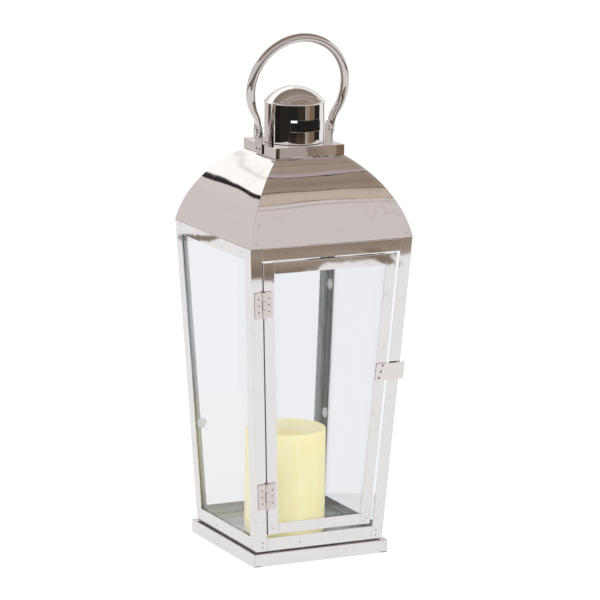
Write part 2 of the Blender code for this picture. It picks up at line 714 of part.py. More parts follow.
def make_candle():
    """A hollow wax pillar over a plastic battery module: an amber lamp, two cells, a cover and a switch."""
    pillar = bpy.data.objects.new("candle_stand", None)
    bpy.data.collections["candle_lantern"].objects.link(pillar)
    pillar.location = (CANDLE_X, CANDLE_Y, CANDLE_Z)
    top = CANDLE_HEIGHT
    rim = 3.6 * MM
    lip_r = CANDLE_R - rim
    dish = [(14.0 * MM, 9.0 * MM), (19.5 * MM, 7.8 * MM), (24.0 * MM, 5.6 * MM), (29.0 * MM, 3.9 * MM)]
    inner_r = CANDLE_R - CANDLE_WALL
    ceiling = top - RECESS_DEPTH - 8.0 * MM
    profile = [(0.0, top - RECESS_DEPTH)]
    profile += [(r, top - depth) for r, depth in dish]
    profile += [(lip_r, top - 2.4 * MM)]
    profile += arc((CANDLE_R - rim / 2, top - rim / 2), rim / 2, 160.0, 0.0, 4)
    profile += [(CANDLE_R, 1.2 * MM), (CANDLE_R - 1.2 * MM, 0.0), (inner_r, 0.0)]
    profile += [(inner_r, ceiling - 6.0 * MM), (inner_r - 6.0 * MM, ceiling), (0.0, ceiling)]
    wax = turned("candle_wax", profile, WAX, 36)

    low = MODULE_Z - CANDLE_Z
    module_r = inner_r - 2 * GAP
    high = low + MODULE_HEIGHT
    chamfer = 1.0 * MM
    module = turned(
        "candle_module",
        [(0.0, high), (module_r - chamfer, high), (module_r, high - chamfer), (module_r, low), (0.0, low)],
        PLASTIC,
        32,
    )
    bay_x, bay_y, bay_z = (BATTERY_BAY[0] / 2, BATTERY_BAY[1] / 2, BATTERY_BAY[2])
    bay = box("battery_bay", (-bay_x, -bay_y, low - chamfer), (bay_x, bay_y, low + bay_z), None, "cutters")
    slot_x, slot_y = SWITCH_SLOT[0] / 2, SWITCH_SLOT[1] / 2
    slot = box(
        "switch_slot",
        (-slot_x, SWITCH_Y - slot_y, low - chamfer),
        (slot_x, SWITCH_Y + slot_y, low + SWITCH_SLOT[2]),
        None,
        "cutters",
    )
    cover_top = low + 1.8 * MM
    cover = box(
        "battery_cover",
        (GAP - bay_x, GAP - bay_y, low),
        (bay_x - GAP, bay_y - GAP, cover_top),
        PLASTIC,
    )
    switch = box(
        "candle_switch",
        (GAP - slot_x, SWITCH_Y - slot_y + GAP, low - GAP),
        (GAP - slot_x + SWITCH_KNOB, SWITCH_Y + slot_y - GAP, low + SWITCH_SLOT[2] - GAP),
        BLACK,
    )
    lamp = turned(
        "candle_lamp",
        [(0.0, 18.0 * MM)]
        + arc((0.0, 15.5 * MM), 2.5 * MM, 60.0, 0.0, 3)
        + [(2.5 * MM, 8.0 * MM), (6.0 * MM, 8.0 * MM), (6.0 * MM, 0.0), (0.0, 0.0)],
        LAMP,
        20,
    )
    lamp.location.z = high + GAP
    cells = []
    for name, side in (("front", -1), ("rear", 1)):
        nub = 2.4 * MM
        half = BATTERY_LENGTH / 2
        cell = turned(
            "battery_" + name,
            [(0.0, half), (nub, half), (nub, half - nub / 2), (BATTERY_R, half - nub / 2)]
            + [(BATTERY_R, -half), (0.0, -half)],
            CELL,
            24,
        )
        cell.rotation_euler.y = side * math.pi / 2
        cell.location = (0.0, side * (BATTERY_R + 0.5 * MM), cover_top + 1.0 * MM + BATTERY_R)
        cells.append(cell)
    for obj in (wax, module, cover, switch, lamp, bay, slot, *cells):
        obj.parent = pillar
    boolean(module, cutter(bay))
    boolean(module, cutter(slot))


def main():
    clear_scene()
    collection("candle_lantern")
    collection("cutters").hide_render = True
    make_base()
    make_posts()
    make_rails()
    make_panes()
    make_door()
    make_hinges()
    make_latch()
    make_roof()
    collar = make_collar()
    make_chimney()
    make_brackets(collar)
    make_handle()
    make_candle()


main()
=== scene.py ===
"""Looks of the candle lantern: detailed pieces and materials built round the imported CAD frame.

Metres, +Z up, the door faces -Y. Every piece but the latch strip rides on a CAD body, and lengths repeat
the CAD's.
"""

import json
import math

import bmesh
import bpy
from mathutils import Matrix, Vector, noise

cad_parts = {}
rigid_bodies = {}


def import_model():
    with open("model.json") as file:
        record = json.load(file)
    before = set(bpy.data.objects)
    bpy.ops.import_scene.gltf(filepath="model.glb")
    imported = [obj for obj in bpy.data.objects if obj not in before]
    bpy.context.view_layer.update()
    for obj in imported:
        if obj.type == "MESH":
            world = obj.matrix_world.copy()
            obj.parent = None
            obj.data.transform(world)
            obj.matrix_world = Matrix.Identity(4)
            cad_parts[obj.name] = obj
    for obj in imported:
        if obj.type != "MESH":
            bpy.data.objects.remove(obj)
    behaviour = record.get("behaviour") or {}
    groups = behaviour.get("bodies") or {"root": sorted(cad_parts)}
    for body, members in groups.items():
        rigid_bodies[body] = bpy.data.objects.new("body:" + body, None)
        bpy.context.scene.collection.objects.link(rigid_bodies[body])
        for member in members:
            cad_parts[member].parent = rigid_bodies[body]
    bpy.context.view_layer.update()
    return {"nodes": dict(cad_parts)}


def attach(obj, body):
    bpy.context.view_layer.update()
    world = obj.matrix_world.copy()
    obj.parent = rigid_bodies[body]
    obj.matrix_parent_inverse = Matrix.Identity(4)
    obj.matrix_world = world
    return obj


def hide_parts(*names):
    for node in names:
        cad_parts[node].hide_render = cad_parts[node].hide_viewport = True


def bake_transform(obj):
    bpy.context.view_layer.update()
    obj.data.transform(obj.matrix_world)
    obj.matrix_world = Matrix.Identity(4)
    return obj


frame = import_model()

MM = 0.001
GAP = 0.3 * MM
SHEET = 1.0 * MM
GLASS = 2.0 * MM

BASE_HALF = 71.0 * MM
BASE_HEIGHT = 12.3 * MM
BASE_HEM = 8.0 * MM
FOOT_Z = 13.6 * MM
FOOT_HALF = 67.3 * MM
SHOULDER_Z = 310.0 * MM
SHOULDER_HALF = 85.1 * MM
TAPER = (SHOULDER_HALF - FOOT_HALF) / (SHOULDER_Z - FOOT_Z)
FLOOR_Z = 18.0 * MM
POST_LEG = 12.0 * MM
BOTTOM_RAIL_TOP_Z = 26.4 * MM
TOP_RAIL_BOTTOM_Z = 297.8 * MM
RAIL_LIP = 8.0 * MM
PANE_INSET = 4.2 * MM

DOOR_BOTTOM_Z = 29.6 * MM
DOOR_TOP_Z = 296.0 * MM
DOOR_HINGE_INSET = 13.3 * MM
DOOR_LATCH_INSET = 15.0 * MM
STILE = 11.0 * MM
DOOR_DEPTH = 5.0 * MM
DOOR_PANE_DEPTH = 2.2 * MM
HINGE_HEIGHT = 25.4 * MM
HINGE_Z = {"lower": 68.3 * MM, "upper": 256.0 * MM}
HINGE_INSET = 12.65 * MM
HINGE_STAND_OFF = 1.9 * MM
LEAF_WIDTH = 9.2 * MM
LEAF_THICK = 0.8 * MM
KNUCKLE_R = 1.6 * MM
KNUCKLE_BORE_R = 0.9 * MM
LATCH_Z = (172.6 * MM, 189.0 * MM)
LATCH_THICK = 0.8 * MM
LATCH_RISE = 1.6 * MM
LATCH_REACH = 2.0 * MM
LATCH_HOOK = 4.6 * MM

ROOF_ARC_HALF = -29.5 * MM
ROOF_ARC_Z = 287.1 * MM
ROOF_ARC_R = 116.9 * MM
ROOF_TOP_Z = 384.2 * MM
COLLAR_HALF = 36.0 * MM
COLLAR_TOP_Z = 394.4 * MM
CHIMNEY_R = 28.7 * MM
CHIMNEY_TOP_Z = 432.0 * MM
FLUE_R = 26.0 * MM
SLOT_HALF = 15.3 * MM
SLOT_Z = (407.0 * MM, 418.0 * MM)
CAP_RISE = 14.2 * MM

PIVOT_Z = 405.0 * MM
BRACKET_HALF = 7.6 * MM
BRACKET_THICK = 1.2 * MM
BRACKET_X = COLLAR_HALF + GAP
BRACKET_RIVET_Z = 389.0 * MM
BRACKET_RIVET_Y = 3.4 * MM
LUG_X = BRACKET_X + BRACKET_THICK + GAP
LUG_THICK = 2.6 * MM
LUG_HALF = 6.2 * MM
RING_R = 49.3 * MM
RING_RISE = 42.2 * MM
RING_TUBE_R = 4.2 * MM
HANDLE_LEAN = math.radians(10.0)

CANDLE_X = -14.0 * MM
CANDLE_Y = -19.5 * MM
CANDLE_R = 38.0 * MM
CANDLE_Z = FLOOR_Z + GAP
CANDLE_HEIGHT = 103.0 * MM
CANDLE_WALL = 7.0 * MM
RECESS_DEPTH = 9.0 * MM

SIDES = ("front", "right", "rear", "left")


def body_half(z):
    """The glazed body's outer half-width at a height."""
    return FOOT_HALF + TAPER * (z - FOOT_Z)


# ---- materials


class Nodes:
    """A new node material and short ways to wire it. Object coordinates keep patterns on their piece."""

    def __init__(self, name):
        self.material = bpy.data.materials.new(name)
        self.material.use_nodes = True
        self.tree = self.material.node_tree
        self.shader = self.tree.nodes["Principled BSDF"]
        self.place = self.tree.nodes.new("ShaderNodeTexCoord").outputs["Object"]

    def set(self, **values):
        for name, value in values.items():
            self.shader.inputs[name.replace("_", " ")].default_value = value

    def feed(self, socket, value):
        """Links a socket to another one, or sets its value."""
        if isinstance(value, bpy.types.NodeSocket):
            self.tree.links.new(value, socket)
        else:
            socket.default_value = value

    def add(self, kind, inputs=None, **settings):
        node = self.tree.nodes.new(kind)
        for name, value in settings.items():
            setattr(node, name, value)
        for name, value in (inputs or {}).items():
            self.feed(node.inputs[name], value)
        return node

    def stretched(self, scale, turn=(0.0, 0.0, 0.0)):
        made = self.add("ShaderNodeMapping", {"Vector": self.place, "Scale": scale, "Rotation": turn})
        return made.outputs["Vector"]

    def noise(self, scale, detail=2.0, roughness=0.5, distortion=0.0, where=None):
        inputs = {"Scale": scale, "Detail": detail, "Roughness": roughness, "Distortion": distortion}
        inputs["Vector"] = where or self.place
        return self.add("ShaderNodeTexNoise", inputs).outputs["Fac"]

    def ramp(self, value, low, high, start, end):
        inputs = {"Value": value, "From Min": low, "From Max": high, "To Min": start, "To Max": end}
        return self.add("ShaderNodeMapRange", inputs).outputs["Result"]

    def mix(self, factor, a, b):
        node = self.add("ShaderNodeMix", data_type="RGBA")
        for index, value in ((0, factor), (6, a), (7, b)):
            self.feed(node.inputs[index], (*value, 1.0) if isinstance(value, (tuple, list)) else value)
        return node.outputs[2]

    def math(self, operation, a, b):
        node = self.add("ShaderNodeMath", operation=operation)
        self.feed(node.inputs[0], a)
        self.feed(node.inputs[1], b)
        return node.outputs[0]

    def bump(self, height, distance, under=None):
        inputs = {"Height": height, "Distance": distance}
        if under:
            inputs["Normal"] = under
        return self.add("ShaderNodeBump", inputs).outputs["Normal"]

    def wire(self, **outputs):
        for name, socket in outputs.items():
            self.tree.links.new(socket, self.shader.inputs[name.replace("_", " ")])


def polished(name, light, dark, waves, ripple, smudge=0.10, turn=(1.0, 1.0, 1.0)):
    """Mirror-polished plated sheet: broad buckles, finer ripples, rub marks, and dull smudges."""
    n = Nodes(name)
    n.set(Metallic=1.0)
    cloud = n.noise(16.0, 3.0, 0.6)
    rub = n.noise(60.0, 4.0, 0.6, 2.5)
    dirt = n.math("MULTIPLY", n.ramp(cloud, 0.48, 0.75, 0.0, 0.8), n.ramp(rub, 0.5, 0.66, 0.0, 1.0))
    colour = n.mix(dirt, light, dark)
    n.wire(Base_Color=colour, Roughness=n.math("ADD", n.math("MULTIPLY", dirt, smudge), 0.035))
    broad = n.bump(n.noise(9.0, 1.0, 0.4, 0.3, n.stretched(turn)), waves * MM)
    fine = n.bump(n.noise(42.0, 1.5, 0.5, 0.6, n.stretched(turn)), ripple * MM, under=broad)
    scratch = n.noise(900.0, 2.0, 0.5, 0.0, n.stretched((1.0, 1.0, 0.03)))
    n.wire(Normal=n.bump(scratch, 0.0015 * MM, under=fine))
    return n.material


def zinc(name, light, dark, along):
    """Dull plated inner faces, with streaks along one direction."""
    n = Nodes(name)
    n.set(Metallic=1.0)
    streaks = n.noise(38.0, 6.0, 0.7, 0.8, n.stretched(along))
    spangle = n.add("ShaderNodeTexVoronoi", {"Vector": n.place, "Scale": 130.0}).outputs["Color"]
    n.wire(Base_Color=n.mix(n.ramp(streaks, 0.35, 0.68, 0.0, 1.0), light, dark))
    n.wire(Roughness=n.ramp(streaks, 0.3, 0.7, 0.22, 0.42))
    n.wire(Normal=n.bump(spangle, 0.02 * MM, under=n.bump(streaks, 0.25 * MM)))
    return n.material


def clear(name, tint, roughness=0.0, ripple=0.02):
    n = Nodes(name)
    n.set(Transmission_Weight=1.0, IOR=1.5)
    n.wire(Base_Color=n.mix(n.noise(6.0, 2.0), tint, [c * 0.985 for c in tint]))
    n.wire(Normal=n.bump(n.noise(18.0, 1.0), ripple * MM))
    n.wire(Roughness=n.ramp(n.noise(60.0, 4.0, 0.7), 0.5, 0.9, roughness, roughness + 0.02))
    return n.material


def milky(name, light, dark):
    """Cured silicone: half clear and half cloudy, with a softly uneven skin."""
    n = Nodes(name)
    n.set(Transmission_Weight=0.45, IOR=1.42, Subsurface_Weight=0.3, Subsurface_Scale=0.002)
    cloud = n.noise(240.0, 3.0, 0.6)
    n.wire(Base_Color=n.mix(cloud, light, dark), Roughness=n.ramp(cloud, 0.3, 0.7, 0.2, 0.4))
    n.wire(Normal=n.bump(cloud, 0.15 * MM))
    return n.material


def wax(name, light, deep, streak):
    """Dyed paraffin: faint vertical drawing marks, cloudiness and light carried under the surface."""
    n = Nodes(name)
    n.set(Subsurface_Weight=0.35, Subsurface_Radius=(0.9, 0.6, 0.25), Subsurface_Scale=0.012, IOR=1.44)
    n.set(Coat_Weight=0.08, Coat_Roughness=0.3)
    streaks = n.noise(55.0, 5.0, 0.65, 0.4, n.stretched((1.0, 1.0, 0.06)))
    cloud = n.noise(30.0, 3.0, 0.5)
    body = n.mix(n.ramp(cloud, 0.3, 0.7, 0.0, 1.0), light, deep)
    n.wire(Base_Color=n.mix(n.ramp(streaks, 0.45, 0.72, 0.0, streak), body, deep))
    n.wire(Roughness=n.ramp(cloud, 0.3, 0.7, 0.42, 0.58))
    n.wire(Normal=n.bump(n.noise(420.0, 3.0), 0.02 * MM, under=n.bump(streaks, 0.35 * MM)))
    return n.material


def moulded(name, light, dark, metallic=0.0, roughness=0.45, grain=900.0):
    n = Nodes(name)
    n.set(Metallic=metallic)
    speck = n.noise(grain, 3.0, 0.6)
    n.wire(Base_Color=n.mix(n.noise(70.0, 3.0), light, dark))
    n.wire(Roughness=n.ramp(speck, 0.3, 0.7, roughness - 0.05, roughness + 0.08))
    n.wire(Normal=n.bump(speck, 0.03 * MM))
    return n.material


PLATE = (0.722, 0.700, 0.704)
PLATE_DARK = (0.60, 0.56, 0.55)
M = {
    "bars": polished("plated_bars", PLATE, PLATE_DARK, 0.55, 0.035),
    "roof": polished("plated_roof", (0.735, 0.705, 0.700), PLATE_DARK, 2.3, 0.03, 0.06, (0.8, 0.8, 1.4)),
    "chimney": polished("plated_chimney", (0.74, 0.71, 0.70), PLATE_DARK, 0.5, 0.035, 0.05, (1, 1, 0.35)),
    "ring": polished("plated_ring", (0.57, 0.53, 0.515), (0.48, 0.44, 0.42), 0.05, 0.004, 0.05),
    "hinge": polished("plated_hinges", (0.63, 0.575, 0.56), PLATE_DARK, 0.3, 0.03, 0.22),
    "spring": polished("plated_spring", (0.70, 0.655, 0.645), PLATE_DARK, 0.3, 0.03, 0.22),
    # Dark painted shade for the hinge stile's faces in the gap beside the post.
    "gap": moulded("painted_gap_shade", (0.20, 0.18, 0.17), (0.12, 0.11, 0.10), 1.0, 0.5),
    # Near-black painted shade for the flue tube's inner faces.
    "flue_shade": moulded("painted_flue_shade", (0.075, 0.067, 0.058), (0.045, 0.04, 0.035), 0.3, 0.6),
    "rivet": polished("plated_rivets", (0.66, 0.63, 0.62), PLATE_DARK, 0.02, 0.002, 0.2),
    "dot": moulded("dulled_rivets", (0.34, 0.30, 0.285), (0.19, 0.16, 0.15), 1.0, 0.4, 2500.0),
    "inside": zinc("zinc_posts", (0.44, 0.47, 0.46), (0.11, 0.13, 0.13), (3.2, 3.2, 0.08)),
    "floor": zinc("zinc_floor", (0.50, 0.51, 0.49), (0.15, 0.155, 0.15), (0.35, 1.6, 1.0)),
    "glass": clear("clear_panes", (0.893, 0.900, 0.918)),
    "edge": clear("ground_glass_edge", (0.42, 0.55, 0.50), 0.25, 0.2),
    "glue": milky("silicone_glue", (0.80, 0.84, 0.85), (0.72, 0.77, 0.78)),
    "wax": wax("wax_side", (0.965, 0.895, 0.540), (0.915, 0.810, 0.400), 0.85),
    # Paler wax for the recess: painted light that brightens its shade.
    "recess": wax("wax_top_painted_light", (0.980, 0.905, 0.620), (0.955, 0.860, 0.540), 0.15),
    # Deeper yellow wax for the middle of the recess: a painted glow with painted shade.
    "painted_glow": wax("wax_painted_glow", (0.970, 0.850, 0.430), (0.940, 0.800, 0.360), 0.1),
    "plastic": moulded("ivory_moulding", (0.80, 0.76, 0.62), (0.74, 0.69, 0.54)),
    "black": moulded("black_moulding", (0.05, 0.05, 0.05), (0.03, 0.03, 0.03), 0.0, 0.4),
    "cell": moulded("battery_can", (0.22, 0.24, 0.27), (0.15, 0.17, 0.20), 0.7, 0.3, 300.0),
    "lens": clear("amber_lens", (0.95, 0.62, 0.20), 0.05, 0.05),
}


# ---- making pieces


def add_piece(name, bm, materials, body, replaces=(), bevel=0.0, smooth=35.0):
    """Turns a bmesh into a piece that rides on a body and stands for CAD nodes.
    """
    materials = materials if isinstance(materials, tuple) else (materials,)
    bmesh.ops.remove_doubles(bm, verts=bm.verts, dist=1e-7)
    bmesh.ops.recalc_face_normals(bm, faces=bm.faces)
    mesh = bpy.data.meshes.new(name)
    bm.to_mesh(mesh)
    bm.free()
    obj = bpy.data.objects.new(name, mesh)
    bpy.context.scene.collection.objects.link(obj)
    for key in materials:
        mesh.materials.append(M[key])
    mesh.shade_smooth()
    mesh.set_sharp_from_angle(angle=math.radians(smooth))
    if bevel:
        rounding = obj.modifiers.new("rounding", "BEVEL")
        rounding.width = bevel
        rounding.segments = 2
        rounding.limit_method = "ANGLE"
        rounding.angle_limit = math.radians(40.0)
        weighted = obj.modifiers.new("flat_faces", "WEIGHTED_NORMAL")
        weighted.weight = 100
        weighted.keep_sharp = True
    if body:
        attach(obj, body)
    if replaces:
        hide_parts(*replaces)
    return obj


def settle(obj):
    """Applies the modifiers, so that the mesh is final."""
    mesh = bpy.data.meshes.new_from_object(obj.evaluated_get(bpy.context.evaluated_depsgraph_get()))
    obj.modifiers.clear()
    obj.data = mesh


def fillet(points, radius, corners, steps=4):
    """The closed outline with the corners of these indices rounded."""
    made = []
    for i, point in enumerate(points):
        here = Vector(point)
        if i not in corners:
            made.append(tuple(here))
            continue
        before = (Vector(points[i - 1]) - here).normalized()
        after = (Vector(points[(i + 1) % len(points)]) - here).normalized()
        half = before.angle(after) / 2
        reach = radius / math.tan(half)
        centre = here + (before + after).normalized() * (radius / math.sin(half))
        start = (here + before * reach - centre).normalized()
        end = (here + after * reach - centre).normalized()
        for k in range(steps + 1):
            made.append(tuple(centre + start.slerp(end, k / steps) * radius))
    return made


def loft(bm, rings, caps=True):
    """Faces between rings of points with equal counts."""
    verts = [[bm.verts.new(p) for p in ring] for ring in rings]
    count = len(rings[0])
    for ring, following in zip(verts, verts[1:]):
        for k in range(count):
            nxt = (k + 1) % count
            bm.faces.new((ring[k], ring[nxt], following[nxt], following[k]))
    if caps:
        bm.faces.new(verts[0])
        bm.faces.new(verts[-1][::-1])
    return verts


def cross_bar(bm, outline, start, end, quarter=0, steps=1):
    """A bar along X with the section [(y, z)], turned about Z to one of the four sides.

    start and end give the X of its two ends at each point of the section.
    """
    turn = Matrix.Rotation(quarter * math.pi / 2, 3, "Z")
    rings = []
    for i in range(steps + 1):
        f = i / steps
        rings.append([turn @ Vector((start(y, z) * (1 - f) + end(y, z) * f, y, z)) for y, z in outline])
    loft(bm, rings)


def between(bm, outline, left, right, quarter=0, steps=1):
    """A bar along X which stops at distances from the body's left and right corners."""
    start, end = lambda y, z: left - body_half(z), lambda y, z: body_half(z) - right
    cross_bar(bm, outline, start, end, quarter, steps)


def leaning_bar(bm, outline, z_low, z_high, lean, steps=1):
    """An upright bar with the section [(x, y)] at z_low, which leans by lean metres for each metre."""
    rings = []
    for i in range(steps + 1):
        rise = (z_high - z_low) * i / steps
        rings.append([Vector((x + lean[0] * rise, y + lean[1] * rise, z_low + rise)) for x, y in outline])
    loft(bm, rings)


def turned(bm, profile, steps=48, matrix=None):
    """A shape of revolution about Z from the profile [(radius, z)]."""
    start = len(bm.verts)
    rings = []
    for k in range(steps):
        angle = 2 * math.pi * k / steps
        c, s = math.cos(angle), math.sin(angle)
        rings.append([bm.verts.new((r * c, r * s, z)) for r, z in profile])
    for k in range(steps):
        ring, following = rings[k], rings[(k + 1) % steps]
        for i in range(len(profile) - 1):
            corners = [ring[i], ring[i + 1], following[i + 1], following[i]]
            if profile[i][0] == 0.0:
                corners.remove(following[i])
            if profile[i + 1][0] == 0.0:
                corners.remove(following[i + 1])
            bm.faces.new(corners)
    if matrix:
        bm.verts.ensure_lookup_table()
        bmesh.ops.transform(bm, matrix=matrix, verts=bm.verts[start:])


def square_plate(bm, half, z_low, z_high):
    """A square plate between two heights."""
    corners = ((-half, -half), (half, -half), (half, half), (-half, half))
    loft(bm, [[(x, y, z) for x, y in corners] for z in (z_low, z_high)])


def arc(centre, radius, start, end, steps):
    """Points on an arc, in degrees, both ends included."""
    angles = [math.radians(start + (end - start) * i / steps) for i in range(steps + 1)]
    return [(centre[0] + radius * math.cos(a), centre[1] + radius * math.sin(a)) for a in angles]


def side_matrix(quarter, x, z, depth=0.0):
    """Axes on a side of the tapering body: X across, Z up its slope and Y into the lantern."""
    slope = math.atan(TAPER)
    turn = Matrix.Rotation(quarter * math.pi / 2, 4, "Z")
    lean = Matrix.Rotation(slope, 4, "X")
    return turn @ Matrix.Translation((x, -body_half(z), z)) @ lean @ Matrix.Translation((0.0, depth, 0.0))


def face_matrix(inset, z, side, stand_off):
    """Axes on the front at a height: Z follows the body's corner and Y points into the lantern."""
    slope = math.atan(TAPER)
    inward = Vector((0.0, math.cos(slope), math.sin(slope)))
    along = Vector((side * TAPER, -TAPER, 1.0)).normalized()
    across = inward.cross(along)
    origin = Vector((side * (body_half(z) - inset), -body_half(z), z)) - inward * stand_off
    return Matrix.Translation(origin) @ Matrix((across, inward, along)).transposed().to_4x4()


def rivet_profile(radius, height, top=0.0):
    """A low domed head over z = top, with a small flat in its middle."""
    return [
        (0.0, top + height),
        (0.35 * radius, top + height),
        (0.62 * radius, top + 0.92 * height),
        (0.84 * radius, top + 0.66 * height),
        (0.97 * radius, top + 0.28 * height),
        (radius, top),
        (radius, top - 0.1 * height),
        (0.0, top - 0.1 * height),
    ]


OUTWARD = Matrix.Rotation(math.pi / 2, 4, "X")
INWARD = Matrix.Rotation(-math.pi / 2, 4, "X")


def wall(z_low, z_high, front, back):
    """The section of a flat strip in the tapering front, between two depths behind its surface."""
    return [
        (-body_half(z_low) + front, z_low),
        (-body_half(z_high) + front, z_high),
        (-body_half(z_high) + back, z_high),
        (-body_half(z_low) + back, z_low),
    ]


# ---- base and frame


def make_base():
    """The base tray: a top plate between four skirts, butted at the corners and hemmed underneath."""
    bm = bmesh.new()
    half, inner = BASE_HALF, BASE_HALF - SHEET
    seam = 0.12 * MM
    for side in (-1, 1):
        section = [(half, 0.0), (half, BASE_HEIGHT), (inner, BASE_HEIGHT), (inner, SHEET)]
        section += [(half - BASE_HEM, SHEET), (half - BASE_HEM, 0.0)]
        section = fillet([(side * a, z) for a, z in section], 0.7 * MM, (1,))
        loft(bm, [[(x, y, z) for x, z in section] for y in (-half, half)])
        loft(bm, [[(x, y, z) for y, z in section] for x in (seam - inner, inner - seam)])
    square_plate(bm, inner - seam, BASE_HEIGHT - SHEET, BASE_HEIGHT - seam)
    add_piece("base_tray", bm, "bars", "frame", ["base_plinth"], 0.18 * MM)


def make_posts():
    """L-angle posts with a rounded outer corner, plated outside and dull inside."""
    corners = (("front_left", -1, -1), ("front_right", 1, -1), ("rear_right", 1, 1), ("rear_left", -1, 1))
    half, leg, inner = FOOT_HALF, FOOT_HALF - POST_LEG, FOOT_HALF - SHEET
    section = [(half, half), (leg, half), (leg, inner), (inner, inner), (inner, leg), (half, leg)]
    for name, x, y in corners:
        outline = fillet([(x * a, y * b) for a, b in section], 0.8 * MM, (0,), 5)
        bm = bmesh.new()
        leaning_bar(bm, outline, FOOT_Z, SHOULDER_Z, (x * TAPER, y * TAPER), 12)
        for face in bm.faces:
            middle = face.calc_center_median()
            edge = body_half(middle.z) - 0.6 * MM
            face.material_index = int(max(abs(middle.x), abs(middle.y)) < edge)
        add_piece(f"angle_post_{name}", bm, ("bars", "inside"), "frame", [f"post_{name}"], 0.15 * MM)


def make_rails():
    """Rails between the posts: a flat strip below, and one with a turned-in lip above."""
    ends = POST_LEG + 0.12 * MM
    lip_z = SHOULDER_Z - SHEET
    low = wall(FOOT_Z, BOTTOM_RAIL_TOP_Z, 0.0, SHEET)
    high = wall(TOP_RAIL_BOTTOM_Z, SHOULDER_Z, 0.0, SHEET)
    lip_y = high[2][0] + RAIL_LIP
    high = high[:2] + [(lip_y, SHOULDER_Z), (lip_y, lip_z), (-body_half(lip_z) + SHEET, lip_z)] + high[3:]
    high = fillet(high, 0.7 * MM, (1,))
    for quarter, side in enumerate(SIDES):
        for level, outline in (("bottom", low), ("top", high)):
            bm = bmesh.new()
            between(bm, outline, ends, ends, quarter, 8)
            add_piece(f"{level}_strip_{side}", bm, "bars", "frame", [f"{level}_rail_{side}"], 0.15 * MM)


def pane(name, outline, left, right, quarter, body, node):
    """A glass pane with arrised, greener edges, at distances from the body's corners."""
    bm = bmesh.new()
    between(bm, outline, left, right, quarter)
    for face in bm.faces:
        lengths = sorted(edge.calc_length() for edge in face.edges)
        face.material_index = int(lengths[0] < 3.0 * MM)
    add_piece(name, bm, ("glass", "edge"), body, [node], 0.25 * MM)


def make_panes():
    outline = wall(FLOOR_Z + GAP, SHOULDER_Z - SHEET - GAP, SHEET + GAP, SHEET + GAP + GLASS)
    for quarter, side in ((1, "right"), (2, "rear"), (3, "left")):
        pane(f"pane_{side}", outline, PANE_INSET, PANE_INSET, quarter, "frame", f"glass_{side}")

    dome = [(0.0, 1.3), (2.2, 1.2), (3.7, 0.85), (4.8, 0.4), (5.2, 0.02), (0.0, 0.02)]
    dome = [(r * MM, h * MM) for r, h in dome]
    spots = {"right": ((7.0, 236.0), (7.4, 108.2)), "rear": ((12.2, 109.0),)}
    for side, dots in spots.items():
        bm = bmesh.new()
        for inset, z in dots:
            x = body_half(z * MM) - inset * MM
            place = side_matrix(SIDES.index(side), x, z * MM, SHEET + GAP + GLASS)
            turned(bm, dome, 32, place @ INWARD)
        add_piece(f"glue_dots_{side}", bm, "glue", "frame")


def make_fasteners():
    """The small dulled rivet heads on the frame, the base and the roof's hips."""
    bm = bmesh.new()
    head = rivet_profile(0.75 * MM, 0.12 * MM)
    for quarter in range(4):
        for across in (-1, 1):
            for z, inset in ((17.4 * MM, 7.6 * MM), (22.2 * MM, 7.6 * MM), (306.5 * MM, 8.4 * MM)):
                place = side_matrix(quarter, across * (body_half(z) - inset), z)
                turned(bm, head, 12, place @ OUTWARD)
        for x, z in ((21.0 * MM, 18.8 * MM), (-22.0 * MM, 301.7 * MM), (-65.2 * MM, 304.4 * MM)):
            turned(bm, head, 12, side_matrix(quarter, -x, z) @ OUTWARD)
        turn = Matrix.Rotation(quarter * math.pi / 2, 4, "Z")
        for across in (-1, 1):
            spot = (across * 67.4 * MM, 0.1 * MM - BASE_HALF, 5.4 * MM)
            turned(bm, rivet_profile(0.75 * MM, 0.09 * MM), 12, turn @ Matrix.Translation(spot) @ OUTWARD)
            for angle in (13.5, 22.0, 37.0):
                a = math.radians(angle)
                surface = ROOF_ARC_HALF + (ROOF_ARC_R - 0.25 * MM) * math.cos(a)
                x, z = across * (surface - 5.6 * MM), ROOF_ARC_Z + ROOF_ARC_R * math.sin(a)
                lean = Matrix.Rotation(math.pi / 2 - a, 4, "X")
                place = turn @ Matrix.Translation((x, -surface, z)) @ lean
                turned(bm, rivet_profile(0.6 * MM, 0.1 * MM), 12, place)
    add_piece("frame_rivet_heads", bm, "dot", "frame")
    bm = bmesh.new()
    for x, z in ((-50.0, 35.6), (48.9, 35.0), (45.8, 32.8), (-62.0, 290.0)):
        turned(bm, rivet_profile(0.6 * MM, 0.1 * MM), 12, side_matrix(0, x * MM, z * MM) @ OUTWARD)
    add_piece("door_rivet_heads", bm, "dot", "door")


# ---- door, hinges and latch


